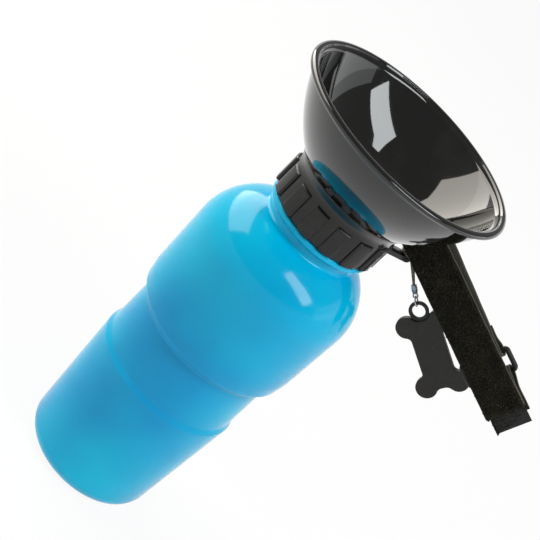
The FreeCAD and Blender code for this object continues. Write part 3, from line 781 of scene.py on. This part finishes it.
class DOGBOTTLE_OT_bottle(bpy.types.Operator):
    """Turn the blown bottle with its wall, collar bead and neck thread"""

    bl_idname = "dogbottle.bottle"
    bl_label = "Bottle"

    def execute(self, context):
        corners = bottle_corners()
        collar = [
            (NECK_RADIUS, 168.0, 0.8), (COLLAR_RADIUS, 170.0, 0.7), (COLLAR_RADIUS, 172.4, 0.9),
            (NECK_RADIUS, 172.4, 0.4),
        ]
        mouth = [(NECK_RADIUS, MOUTH_HEIGHT, 0.3), (NECK_BORE, MOUTH_HEIGHT, 0)]
        outside = outline_points(corners + collar + mouth, step=5.0)
        inside = shifted(corners, settings("bottle").wall / MM)
        inside[-1] = (NECK_BORE, inside[-1][1] + 0.6, 1.5)
        inner = outline_points(inside + mouth[1:], step=5.0)
        shell = lathe("bottle_shell", outside[:-1] + inner[::-1], 192)
        ridge = thread_ridge("neck_thread", NECK_RADIUS, THREAD_DEPTH, CAP_BOTTOM + 1.6)
        piece = joined("squeeze_bottle", [shell, ridge])
        smooth(piece, 40.0)
        finish_piece(piece, "bottle", blown_blue(), "bottle")
        return {"FINISHED"}


# Cap


LUG_HEIGHT = 14.0
LUG_PHASE = -93.9
BAR_RADIUS = 2.4
BAR_REACH = 48.3
BAR_MIDDLE = 188.75
BRACKET_PHASE = 43.1


class DOGBOTTLE_OT_cap(bpy.types.Operator):
    """Turn the screw cap, raise its grip lugs and build the strap's bracket"""

    bl_idname = "dogbottle.cap"
    bl_label = "Cap"

    def execute(self, context):
        look = settings("cap")
        radius = look.wall_radius / MM
        lug_top = CAP_BOTTOM + LUG_HEIGHT
        outline = outline_points([
            (CAP_BORE, CAP_BOTTOM, 0.4), (radius, CAP_BOTTOM, 0.4), (radius, CAP_BOTTOM + 1.0, 0),
            (radius, lug_top, 0), (radius, 189.6, 8.0), (30.4, CAP_TOP, 0.5), (CAP_BORE, CAP_TOP, 0.3),
            (CAP_BORE, SHELF_TOP, 0), (SHELF_BORE, SHELF_TOP, 0.4), (SHELF_BORE, SHELF_BOTTOM, 0.4),
            (CAP_BORE, SHELF_BOTTOM, 0),
        ], closed=True)
        cap = lathe("cap_wall", outline, look.lug_count * 10, closed=True)
        self.raise_lugs(cap, radius, lug_top, look)
        place(cap, rotation(LUG_PHASE, "Z"))
        smooth(cap, 42.0)
        ridge = thread_ridge("cap_thread", CAP_BORE, -THREAD_DEPTH, CAP_BOTTOM + 3.6)
        cap = joined("screw_cap", [cap, ridge, self.bracket(radius)])
        material = moulded_black("cap_black", look.black, 0.16, 0.12, 0.25, 0.1)
        finish_piece(cap, "cap", material, "cap_collar")
        return {"FINISHED"}

    def raise_lugs(self, cap, radius, lug_top, look):
        pitch = math.tau / look.lug_count

        def in_lug(face):
            middle = face.calc_center_median()
            if not (CAP_BOTTOM + 0.3) * MM < middle.z < lug_top * MM:
                return False
            if math.hypot(middle.x, middle.y) < (radius - 0.1) * MM:
                return False
            angle = math.atan2(middle.y, middle.x) / pitch
            return abs(angle - round(angle)) < 0.3

        edit(cap)
        mark_selection(cap, in_lug, "faces")
        bpy.ops.mesh.extrude_region_move()
        grow = 1 + look.lug_proud / MM / radius
        bpy.ops.transform.resize(value=(grow, grow, 1), center_override=(0, 0, 0))
        bpy.ops.mesh.region_to_loop()
        proud = (radius + look.lug_proud / MM - 0.05) * MM
        loop = bmesh.from_edit_mesh(cap.data)
        for rim in loop.edges:
            low = all(v.co.z < (CAP_BOTTOM + 0.99) * MM for v in rim.verts)
            outer = all(math.hypot(v.co.x, v.co.y) > proud for v in rim.verts)
            if rim.select and (low or not outer):
                rim.select_set(False)
        bmesh.update_edit_mesh(cap.data)
        bpy.ops.mesh.bevel(offset=1.15 * MM, segments=5, profile=0.5, clamp_overlap=True)
        lay_down()

    def bracket(self, radius):
        """Two arms, a brace and the round bar that the strap hangs on."""
        root = radius - 0.8
        arm = radius + 3.2
        outer = 50.7
        bar = BAR_REACH
        corners = [
            (root, 173.3, 0), (outer, 173.3, 2.2), (outer, 203.8, 2.2), (bar - 7.4, 203.8, 1.5),
            (root, 187.4, 0), (root, 184.6, 0), (arm, 186.8, 1.2), (bar - 8.0, 201.2, 0.6),
            (bar - 1.2, 201.2, 0), (bar - 1.2, 176.3, 0), (arm, 176.3, 1.2), (arm, 184.0, 0), (root, 182.0, 0),
        ]
        plate = drawn_chain("bracket_plate", outline_points(corners, closed=True))
        select_all()
        bpy.ops.mesh.edge_face_add()
        extrude(0, 2 * BAR_RADIUS * MM, 0)
        tidy_surface()
        place(plate, move(0, -BAR_RADIUS, 0))
        # The flat stretch where the round bar runs is cut away.
        slot = added(bpy.ops.mesh.primitive_cube_add, size=MM, location=((bar + 1.0) * MM, 0, BAR_MIDDLE * MM))
        slot.scale = (5.2, 10.0, 24.9)
        place(slot)
        combine(plate, slot, "DIFFERENCE")
        modify(plate, "BEVEL", width=0.6 * MM, segments=3, limit_method="ANGLE")
        rod = added(
            bpy.ops.mesh.primitive_cylinder_add, vertices=48, radius=BAR_RADIUS * MM, depth=26.4 * MM,
            location=(bar * MM, 0, BAR_MIDDLE * MM),
        )
        edit(rod)
        mark_selection(rod, lambda f: abs(f.normal.z) > 0.9, "faces")
        bpy.ops.mesh.inset(thickness=0.6 * MM)
        place(rod)
        bracket = joined("bracket", [plate, rod])
        smooth(bracket, 40.0)
        place(bracket, rotation(BRACKET_PHASE, "Z"))
        return bracket


# Bowl


BOWL_FOOT = 30.5
OUTLET = 2.5
SPIGOT_INSIDE = 23.05
SPIGOT_BOTTOM = 190.4
SOCKET_OUTSIDE = 5.3
SOCKET_BORE = 3.55
SOCKET_BOTTOM = 180.8


class DOGBOTTLE_OT_bowl(bpy.types.Operator):
    """Turn the drinking bowl with its rolled lip, spigot and socket"""

    bl_idname = "dogbottle.bowl"
    bl_label = "Bowl"

    def execute(self, context):
        look = settings("bowl")
        rim = look.rim_radius / MM
        wall_top = rim - 2.9
        lip_bottom = RIM_HEIGHT - 3.0
        centre, reach = circle_through((BOWL_FOOT, CAP_TOP), (43.6, CAP_TOP + 14.5), (wall_top, lip_bottom))
        outer = arc_points(centre, reach, CAP_TOP, lip_bottom, 40)
        floor = CAP_TOP + 2.6
        inner = arc_points(centre, reach - look.wall / MM, floor, RIM_HEIGHT, 44)
        inner = [p for p in inner if p[1] > floor + 5.0]
        sole = inner[0]
        slope = Vector((inner[1][0] - sole[0], inner[1][1] - sole[1], 0)).normalized()
        knee = sole[0] - slope.x * (sole[1] - floor) / slope.y
        bottom = outline_points([(OUTLET, floor, 0.5), (knee, floor, 8.0), (sole[0], sole[1], 0)], step=6.0)
        edge, level = inner[-4]
        lip = outline_points([
            (edge, level, 0), (edge + 1.0, RIM_HEIGHT - 1.15, 0.7), (edge + 1.7, RIM_HEIGHT - 1.05, 0.35),
            (edge + 2.15, RIM_HEIGHT, 0.6), (rim, RIM_HEIGHT, 1.45), (rim, lip_bottom + 0.4, 1.3),
            (wall_top + 0.6, lip_bottom, 0.5), outer[-2],
        ], step=15.0)
        spigot = CAP_BORE - 0.05
        under = outline_points([
            (BOWL_FOOT, CAP_TOP, 0), (spigot, CAP_TOP, 0), (spigot, SPIGOT_BOTTOM, 0.4),
            (SPIGOT_INSIDE, SPIGOT_BOTTOM, 0.4), (SPIGOT_INSIDE, CAP_TOP, 0), (SOCKET_OUTSIDE, CAP_TOP, 0),
            (SOCKET_OUTSIDE, SOCKET_BOTTOM, 0.3), (SOCKET_BORE, SOCKET_BOTTOM, 0), (SOCKET_BORE, CAP_TOP, 0),
            (OUTLET, CAP_TOP, 0),
        ])
        outline = bottom + inner[1:-4] + lip[:-1] + outer[::-1][1:-1] + under
        piece = lathe("drinking_bowl", outline, 400, closed=True)
        smooth(piece, 40.0)
        material = moulded_black("bowl_black", look.black, 0.045, 0.04, 0.0, 0.6)
        finish_piece(piece, "cap", material, "bowl")
        return {"FINISHED"}


# Hidden pieces


class DOGBOTTLE_OT_water_way(bpy.types.Operator):
    """Finish the tube, the gasket and the seal, whose solids are right as they are"""

    bl_idname = "dogbottle.water_way"
    bl_label = "Tube and seals"

    def execute(self, context):
        tube = milky_soft("tube_milky", settings("bottle").water_white, 0.3)
        ring = milky_soft("silicone_ring", (0.62, 0.62, 0.58), 0.55)
        for node, material in (("siphon_tube", tube), ("mouth_gasket", ring), ("bowl_seal", ring)):
            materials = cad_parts[node].data.materials
            materials.clear()
            materials.append(material)
        return {"FINISHED"}


# Strap


# The bracket's bar from above, where the strap and the cord hang.
BAR_X = 35.267
BAR_Y = 33.002
STRAP_FRAME = move(BAR_X, BAR_Y, 188.285) @ rotation(-5.5, "Z") @ rotation(17.0, "Y")
FOLD = 2.3
BACK = 2.9
FRONT = -1.7
HALF = 4.8
UPPER_END = 61.3
LOWER_END = 66.9
SEWN_END = 47.4
TURN_END = 84.6
FREE_END = 94.0
TAPE_WIDTH = 19.0
# How far the middles of the two layers lie from the strap's own middle.
LAYER_SHIFT = 0.42
LAYER_THICKNESS = 0.62
STRAP_PATH = [
    (SEWN_END, FRONT + 3.25, 0), (53.4, FRONT + 2.55, 6.0), (57.5, BACK, 4.0), (UPPER_END, BACK, FOLD * 0.98),
    (UPPER_END, FRONT, FOLD * 0.98), (56.0, FRONT, 6.0), (4.0, HALF, 20.0), (-6.55, HALF, HALF * 0.98),
    (-6.55, -HALF, HALF * 0.98), (TURN_END, -HALF, 1.0), (TURN_END, -2.8, 1.0), (74.7, -2.8, 6.0),
    (70.7, FRONT, 4.0), (LOWER_END, FRONT, FOLD * 0.98), (LOWER_END, BACK, FOLD * 0.98), (70.7, BACK, 4.0),
    (77.2, -0.4, 6.0), (FREE_END, -0.4, 0),
]


def even_steps(points, step):
    """Points along a line no further apart than a step, its corners kept."""
    fine = [points[0]]
    for before, after in zip(points, points[1:]):
        count = max(1, math.ceil(math.dist(before, after) / step))
        for index in range(1, count + 1):
            share = index / count
            fine.append(tuple(b + (a - b) * share for b, a in zip(before, after)))
    return fine


def path_lengths(points):
    """The distance run up to each point."""
    runs = [0.0]
    for before, after in zip(points, points[1:]):
        runs.append(runs[-1] + math.dist(before, after))
    return runs


def path_normals(points):
    """The left-hand normal at each point of a line."""
    normals = []
    for index in range(len(points)):
        before = points[max(index - 1, 0)]
        after = points[min(index + 1, len(points) - 1)]
        along = Vector((after[0] - before[0], after[1] - before[1])).normalized()
        normals.append((-along.y, along.x))
    return normals


def ripple(run, across):
    """How far the soft tape waves out of its plane, in millimetres, growing from its sewn end."""
    half = TAPE_WIDTH / 2
    slow = math.sin(run * 0.11 + 0.6) * 0.16 * across / half
    edge = (abs(across) / half) ** 3 * math.sin(run * 0.42 + across * 0.3) * 0.14
    return (slow + edge) * min(1.0, run / 8.0)


def end_cut(run, whole, across):
    """How far the slanting, hand-cut free end draws back a place on the tape."""
    share = across / TAPE_WIDTH + 0.5
    cut = 6.2 * share + 0.5 * math.sin(share * 9.0) + 0.25 * math.sin(share * 23.0)
    return cut * max(0.0, 1 - (whole - run) / 12.0)


class DOGBOTTLE_OT_strap(bpy.types.Operator):
    """Fold the two layers of tape along the strap's path and plant the pile"""

    bl_idname = "dogbottle.strap"
    bl_label = "Strap tape and backing"

    def execute(self, context):
        path = even_steps(outline_points(STRAP_PATH, step=12.0), 0.9)
        pile = self.layer("pile_ground", path, -LAYER_SHIFT)
        backing = self.layer("strap_band", path, LAYER_SHIFT)
        tufts = self.tufts(path, settings("strap"))
        smooth(pile, 50.0)
        smooth(tufts, 60.0)
        pile = joined("strap_pile", [pile, tufts])
        finish_piece(pile, "strap", loop_pile(), "strap_pile_tape")
        smooth(backing, 50.0)
        finish_piece(backing, "strap", tape_weave(), "strap_backing")
        return {"FINISHED"}

    def layer(self, name, path, offset):
        """One thin layer of tape with its own length and width as its UV map."""
        normals = path_normals(path)
        runs = path_lengths(path)
        last = len(path) - 1
        piece = added(
            bpy.ops.mesh.primitive_grid_add, x_subdivisions=20, y_subdivisions=last, size=2, calc_uvs=True
        )
        piece.name = name
        for vertex in piece.data.vertices:
            step = round((vertex.co.y / 2 + 0.5) * last)
            across = vertex.co.x * TAPE_WIDTH / 2
            x = path[step][0] - end_cut(runs[step], runs[-1], across)
            lift = offset + ripple(runs[step], across)
            y = path[step][1] + normals[step][1] * lift
            vertex.co = Vector((x + normals[step][0] * lift, y, across)) * MM
        for corner in piece.data.uv_layers[0].data:
            corner.uv = (runs[round(corner.uv.y * last)] * MM, corner.uv.x * TAPE_WIDTH * MM)
        modify(piece, "SOLIDIFY", thickness=LAYER_THICKNESS * MM, offset=0)
        edit(piece)
        tidy_surface(merge=False)
        place(piece, STRAP_FRAME)
        return piece

    def tufts(self, path, look):
        """Short loops of pile all over the tape's outer face."""
        pattern = self.one_tuft()
        normals = path_normals(path)
        runs = path_lengths(path)
        chance = random.Random(11)
        places = []
        pitch = look.tuft_pitch / MM
        run = 0.3
        index = 0
        while run < runs[-1] - 0.3:
            while runs[index + 1] < run:
                index += 1
            share = (run - runs[index]) / (runs[index + 1] - runs[index])
            x = path[index][0] + (path[index + 1][0] - path[index][0]) * share
            y = path[index][1] + (path[index + 1][1] - path[index][1]) * share
            normal = Vector((*normals[index], 0))
            out = -normal
            along = Vector((-normal.y, normal.x, 0))
            side = Vector((0, 0, 1))
            across = -8.9
            while across < 8.9:
                spot = across + chance.uniform(-0.3, 0.3) * pitch
                shift = chance.uniform(-0.3, 0.3) * pitch
                lift = ripple(run, spot) - LAYER_SHIFT - 0.28
                foot = Vector((x - end_cut(run, runs[-1], spot), y, spot)) + normal * lift + along * shift
                lean = chance.uniform(0, math.tau)
                tall = chance.uniform(0.7, 1.15) * look.pile_height / MM
                turn_x = along * math.cos(lean) + side * math.sin(lean)
                turn_y = out.cross(turn_x)
                tilt = (out + along * chance.uniform(-0.5, 0.5) + side * chance.uniform(-0.5, 0.5)).normalized()
                matrix = Matrix((turn_x * tall, turn_y * tall, tilt * tall)).transposed().to_4x4()
                matrix.translation = foot
                places.append(Matrix.Scale(MM, 4) @ matrix)
                across += pitch
            run += pitch
        piece = scattered("pile_tufts", pattern, places)
        place(piece, STRAP_FRAME)
        return piece

    def one_tuft(self):
        """A small leaning loop of yarn, one unit tall."""
        tuft = added(
            bpy.ops.mesh.primitive_cone_add, vertices=3, radius1=0.52, radius2=0.3, depth=0.75,
            location=(0, 0, 0.3), end_fill_type="NOTHING",
        )
        edit(tuft)
        mark_selection(tuft, lambda v: v.co.z > 0, "verts")
        bpy.ops.transform.translate(value=(0.16, 0.05, 0))
        extrude(0.22, 0.1, 0.12)
        bpy.ops.mesh.merge(type="CENTER")
        place(tuft)
        return tuft


class DOGBOTTLE_OT_strap_fittings(bpy.types.Operator):
    """Mould the ring, the hook patch with its hooks, and the sewing"""

    bl_idname = "dogbottle.strap_fittings"
    bl_label = "Strap ring, hook patch and sewing"

    def execute(self, context):
        self.ring()
        self.hook_patch()
        self.sewing()
        return {"FINISHED"}

    def block(self, low, high, middle, thick, wide):
        """A flat block between two places along the strap."""
        block = added(bpy.ops.mesh.primitive_cube_add, size=1, location=((low + high) / 2 * MM, middle * MM, 0))
        block.scale = ((high - low) * MM, thick * MM, wide * MM)
        place(block)
        return block

    def ring(self):
        ring = self.block(57.9, 70.3, 0.6, 2.2, 25.6)
        edit(ring)
        mark_selection(ring, lambda e: abs((e.verts[0].co - e.verts[1].co).normalized().y) > 0.9, "edges")
        bpy.ops.mesh.bevel(offset=2.6 * MM, segments=8)
        mark_selection(ring, lambda f: abs(f.normal.y) > 0.99, "faces")
        bpy.ops.mesh.inset(thickness=2.2 * MM)
        mark_selection(ring, lambda f: abs(f.normal.y) > 0.99 and len(f.verts) > 4, "faces")
        bpy.ops.mesh.bridge_edge_loops()
        tidy_surface()
        modify(ring, "BEVEL", width=0.75 * MM, segments=5, limit_method="ANGLE", angle_limit=math.radians(50))
        smooth(ring, 40.0)
        place(ring, STRAP_FRAME)
        material = moulded_black("ring_black", (0.010, 0.010, 0.010), 0.28, 0.2, 0.3, 0.0)
        finish_piece(ring, "strap", material, "strap_ring")

    def hook_patch(self):
        """A thin tape set with rows of small hooks, on the free end's inner face."""
        low = 80.0
        face = -1.3
        ground = self.block(low, 93.0, face - 0.14, 0.28, 17.0)
        ground.name = "hook_ground"
        edit(ground)
        select_all("EDGE")
        bpy.ops.mesh.bevel(offset=0.1 * MM, segments=2)
        hook = self.one_hook()
        chance = random.Random(5)
        places = []
        for row in range(11):
            for column in range(14):
                x = low + 0.9 + row * 1.13 + chance.uniform(-0.1, 0.1)
                z = -7.8 + column * 1.2 + chance.uniform(-0.1, 0.1)
                facing = Matrix.Rotation(chance.choice((0, math.pi)) + chance.uniform(-0.2, 0.2), 4, "Y")
                places.append(move(x, face - 0.26, z) @ facing)
        patch = joined("hook_patch", [ground, scattered("hooks", hook, places)])
        smooth(patch, 50.0)
        place(patch, STRAP_FRAME)
        material = moulded_black("hook_black", (0.010, 0.010, 0.010), 0.42, 0.3, 0.3, 0.0)
        finish_piece(patch, "strap", material, "strap_hook_patch")

    def one_hook(self):
        hook = added(
            bpy.ops.mesh.primitive_circle_add, vertices=5, radius=0.09 * MM, fill_type="NGON",
            location=(0, 0, 0),
        )
        place(hook, rotation(90, "X"))
        edit(hook)
        for step in ((0, -0.14, 0), (0.03, -0.1, 0), (0.12, -0.05, 0), (0.08, 0.07, 0)):
            bpy.ops.mesh.select_mode(type="FACE")
            extrude(*(Vector(step) * MM))
        tidy_surface()
        return hook

    def sewing(self):
        """Two rows of stitches through the folded end."""
        stitch = self.one_stitch()
        slope = math.atan2(-0.7, 6.0)
        lay = Matrix.Rotation(slope, 4, "Z")
        places = []
        for along in (0.8, 3.0):
            x = SEWN_END + along * math.cos(slope) - 1.2 * math.sin(slope)
            y = FRONT + 3.25 + along * math.sin(slope) + 1.02 * math.cos(slope)
            places += [move(x, y, (index - 3) * 2.6) @ lay for index in range(7)]
        sewing = scattered("stitches", stitch, places)
        smooth(sewing, 60.0)
        place(sewing, STRAP_FRAME)
        finish_piece(sewing, "strap", spun_thread(), "strap_stitching")

    def one_stitch(self):
        """A stretch of thread that dips into the tape at both ends."""
        stitch = added(bpy.ops.mesh.primitive_cylinder_add, vertices=10, radius=0.26 * MM, depth=1.8 * MM)
        edit(stitch)
        select_all("EDGE")
        bpy.ops.mesh.subdivide(number_cuts=1)
        mark_selection(stitch, lambda f: abs(f.normal.z) > 0.9, "faces")
        bpy.ops.transform.translate(value=(0, -0.2 * MM, 0))
        bpy.ops.transform.resize(value=(0.6, 0.6, 1))
        tidy_surface()
        place(stitch)
        return stitch


# Tag


CORD_LOOP_HEIGHT = 177.25
CORD_TURN = 5.0
CORD_DROP = 37.3
TAG_FRAME = move(BAR_X, BAR_Y, CORD_LOOP_HEIGHT) @ rotation(CORD_TURN, "Z") @ rotation(CORD_DROP, "Y")
CORD_REACH = 15.0
CRIMP_LENGTH = 4.2
CRIMP_MIDDLE = CORD_REACH + CRIMP_LENGTH / 2
CRIMP_EYE = 20.4
RING_MIDDLE = 23.0
RING_BOTTOM = 25.35
EYE_MIDDLE = 27.80
EYE_RISE = 6.4
EYE_THICKNESS = 1.6


class DOGBOTTLE_OT_tag(bpy.types.Operator):
    """Hang the bone on its ring, its crimp and its loop of cord"""

    bl_idname = "dogbottle.tag"
    bl_label = "Tag"

    def execute(self, context):
        bone = self.bone()
        crimp = self.crimp()
        ring = self.jump_ring()
        self.cord([crimp, ring, bone])
        return {"FINISHED"}

    def cord_route(self):
        # The bar's radius, half the cord and a little play.
        reach = BAR_RADIUS + 0.5 + 0.4
        drop = math.radians(CORD_DROP)
        visible = CORD_REACH - 0.1
        span = visible * math.cos(drop) - 2.2
        fall = visible * math.sin(drop)
        one_side = [
            Vector((2.2 + span * share, reach * aside, -fall * share))
            for share, aside in ((1.0, 0.17), (0.66, 0.36), (0.32, 0.7), (0.0, 0.94))
        ]
        one_side.append(Vector((-reach, reach, 0)))
        other_side = [Vector((p.x, -p.y, p.z)) for p in reversed(one_side)]
        hang = Matrix.Translation(Vector((BAR_X, BAR_Y, CORD_LOOP_HEIGHT))) @ rotation(CORD_TURN, "Z")
        return [(hang @ p) * MM for p in one_side + other_side]

    def cord(self, hanging):
        route = self.cord_route()
        line = bpy.data.curves.new("tag_loop", "CURVE")
        line.dimensions = "3D"
        run = line.splines.new("NURBS")
        run.points.add(len(route) - 1)
        for point, spot in zip(run.points, route):
            point.co = (spot.x, spot.y, spot.z, 1.0)
        run.order_u = 3
        run.use_endpoint_u = True
        run.resolution_u = 16
        line.bevel_depth = settings("tag").cord_radius
        line.bevel_resolution = 6
        line.use_fill_caps = True
        cord = bpy.data.objects.new("tag_loop", line)
        bpy.context.scene.collection.objects.link(cord)
        line.materials.append(twisted_cord())
        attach(cord, "cord")
        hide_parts("tag_cord")

    def crimp(self):
        crimp = added(
            bpy.ops.mesh.primitive_cylinder_add, vertices=40, radius=1.25 * MM, depth=CRIMP_LENGTH * MM
        )
        crimp.name = "crimp_sleeve"
        place(crimp, move(CRIMP_MIDDLE, 0, 0) @ rotation(90, "Y"))
        edit(crimp)
        for across in (1.3, 2.9, 2.1, 0.7, 3.5):
            select_all()
            bpy.ops.mesh.bisect(plane_co=((CORD_REACH + across) * MM, 0, 0), plane_no=(1, 0, 0))
        middle = CRIMP_MIDDLE * MM
        mark_selection(crimp, lambda v: abs(v.co.x - middle) < 0.9 * MM, "verts")
        bpy.ops.transform.resize(value=(1, 0.72, 1.14), center_override=(middle, 0, 0))
        mark_selection(crimp, lambda f: abs(f.normal.x) > 0.9, "faces")
        bpy.ops.mesh.bevel(offset=0.22 * MM, segments=3)
        tidy_surface()
        middle = Vector((CRIMP_EYE, 0, 0)) * MM
        eye = added(
            bpy.ops.mesh.primitive_torus_add, major_segments=48, minor_segments=16, major_radius=1.075 * MM,
            minor_radius=0.325 * MM, location=middle, rotation=(math.radians(90), 0, 0),
        )
        place(eye)
        edit(eye)
        select_all()
        bpy.ops.transform.resize(value=(1, 1.35, 1), center_override=middle)
        crimp = joined("crimp", [crimp, eye])
        smooth(crimp, 40.0)
        place(crimp, TAG_FRAME)
        metal = worn_metal("crimp_metal", (0.24, 0.27, 0.31), 0.32)
        return finish_piece(crimp, "cord", metal, "cord_crimp")

    def jump_ring(self):
        ring = added(
            bpy.ops.mesh.primitive_torus_add, major_segments=72, minor_segments=18, major_radius=2.35 * MM,
            minor_radius=0.35 * MM, location=Vector((RING_MIDDLE, 0, 0)) * MM,
        )
        ring.name = "ring_wire"
        smooth(ring, 60.0)
        place(ring, TAG_FRAME)
        metal = worn_metal("ring_wire", (0.45, 0.46, 0.48), 0.22)
        return finish_piece(ring, "tag", metal, "jump_ring")

    def disc(self, name, radius, thick):
        """A flat disc round the middle of the bone's eye."""
        disc = added(
            bpy.ops.mesh.primitive_cylinder_add, vertices=72, radius=radius * MM, depth=thick * MM,
            location=(EYE_MIDDLE * MM, 0, 0), rotation=(math.radians(90), 0, 0),
        )
        disc.name = name
        place(disc)
        return disc

    def slab(self, name, outline, thick):
        """A flat piece of even thickness from an outline in the XZ plane."""
        slab = drawn_chain(name, outline + outline[:1])
        weld()
        select_all()
        bpy.ops.mesh.edge_face_add()
        extrude(0, thick * MM, 0)
        select_all()
        bpy.ops.transform.translate(value=(0, -thick / 2 * MM, 0))
        bpy.ops.mesh.normals_make_consistent(inside=False)
        place(slab)
        return slab

    def bone_outline(self, top, length):
        """The bone's outline: four lobes, with a soft hollow wherever two lines meet."""
        lobe, apart, half_shaft, rise = 5.2, 7.75, 7.5, 1.8
        end_ease, side_ease = 3.2, 2.4
        down = math.sqrt((lobe + side_ease) ** 2 - (half_shaft + side_ease - apart) ** 2)
        inward = math.sqrt((lobe + end_ease) ** 2 - (rise + end_ease) ** 2)
        turn_end = math.atan2(inward, rise + end_ease)
        turn_side = math.atan2(half_shaft + side_ease - apart, down)
        quarter = arc_turn((-rise - end_ease, apart - inward), end_ease, 0.0, turn_end, 10)
        quarter += arc_turn((0.0, apart), lobe, math.pi + turn_end, turn_side, 40)
        quarter += arc_turn((down, half_shaft + side_ease), side_ease, math.pi + turn_side, math.pi * 1.5, 10)
        one_side = quarter + [(length - x, z) for x, z in reversed(quarter)]
        return [(x + top, z) for x, z in one_side + [(length - x, -z) for x, z in one_side]]

    def bone(self):
        look = settings("tag")
        top = EYE_MIDDLE + EYE_RISE
        bone = self.slab("shaft", self.bone_outline(top, look.bone_length / MM), look.bone_thickness / MM)
        neck = added(bpy.ops.mesh.primitive_cube_add, size=1, location=((EYE_MIDDLE + EYE_RISE / 2) * MM, 0, 0))
        neck.scale = (EYE_RISE * MM, EYE_THICKNESS * MM, 6.2 * MM)
        place(neck)
        combine(bone, self.disc("eye", 4.7, EYE_THICKNESS), "UNION")
        combine(bone, neck, "UNION")
        combine(bone, self.disc("hole", 3.1, 8.0), "DIFFERENCE")
        bone.name = "bone"
        modify(bone, "REMESH", mode="VOXEL", voxel_size=0.24 * MM)
        modify(bone, "SMOOTH", factor=0.6, iterations=7)
        smooth(bone, 70.0)
        pivot = move(RING_BOTTOM, 0, 0)
        place(bone, TAG_FRAME @ pivot @ rotation(-9.0, "Y") @ pivot.inverted())
        return finish_piece(bone, "tag", soft_bone(), "bone_tag")


# Panel and start


class DOGBOTTLE_PT_panel(bpy.types.Panel):
    """One button per group of pieces, above the sizes and colours they use"""

    bl_label = "Dog travel bottle"
    bl_idname = "DOGBOTTLE_PT_panel"
    bl_space_type = "VIEW_3D"
    bl_region_type = "UI"
    bl_category = "Dog bottle"

    def draw(self, context):
        for step in STEPS:
            self.layout.operator("dogbottle." + step)
        for group, kind in GROUPS.items():
            box = self.layout.box()
            box.label(text=group.capitalize())
            for entry in kind.__annotations__:
                box.prop(settings(group), entry)


STEPS = {
    "tag": DOGBOTTLE_OT_tag,
    "bottle": DOGBOTTLE_OT_bottle,
    "cap": DOGBOTTLE_OT_cap,
    "bowl": DOGBOTTLE_OT_bowl,
    "water_way": DOGBOTTLE_OT_water_way,
    "strap": DOGBOTTLE_OT_strap,
    "strap_fittings": DOGBOTTLE_OT_strap_fittings,
    "stage": DOGBOTTLE_OT_stage,
}
GROUPS = {
    "bottle": BottleSettings,
    "cap": CapSettings,
    "bowl": BowlSettings,
    "strap": StrapSettings,
    "tag": TagSettings,
    "stage": StageSettings,
}
CLASSES = [*STEPS.values(), DOGBOTTLE_PT_panel]


def register():
    for group, kind in GROUPS.items():
        bpy.utils.register_class(kind)
        setattr(bpy.types.Scene, "dog_bottle_" + group, bpy.props.PointerProperty(type=kind))
    for kind in CLASSES:
        bpy.utils.register_class(kind)


def unregister():
    for kind in reversed(CLASSES):
        bpy.utils.unregister_class(kind)
    for group, kind in GROUPS.items():
        delattr(bpy.types.Scene, "dog_bottle_" + group)
        bpy.utils.unregister_class(kind)


def main():
    register()
    for step in STEPS:
        if getattr(bpy.ops.dogbottle, step)() != {"FINISHED"}:
            raise RuntimeError("the step " + step + " did not finish")


if __name__ == "__main__":
    main()
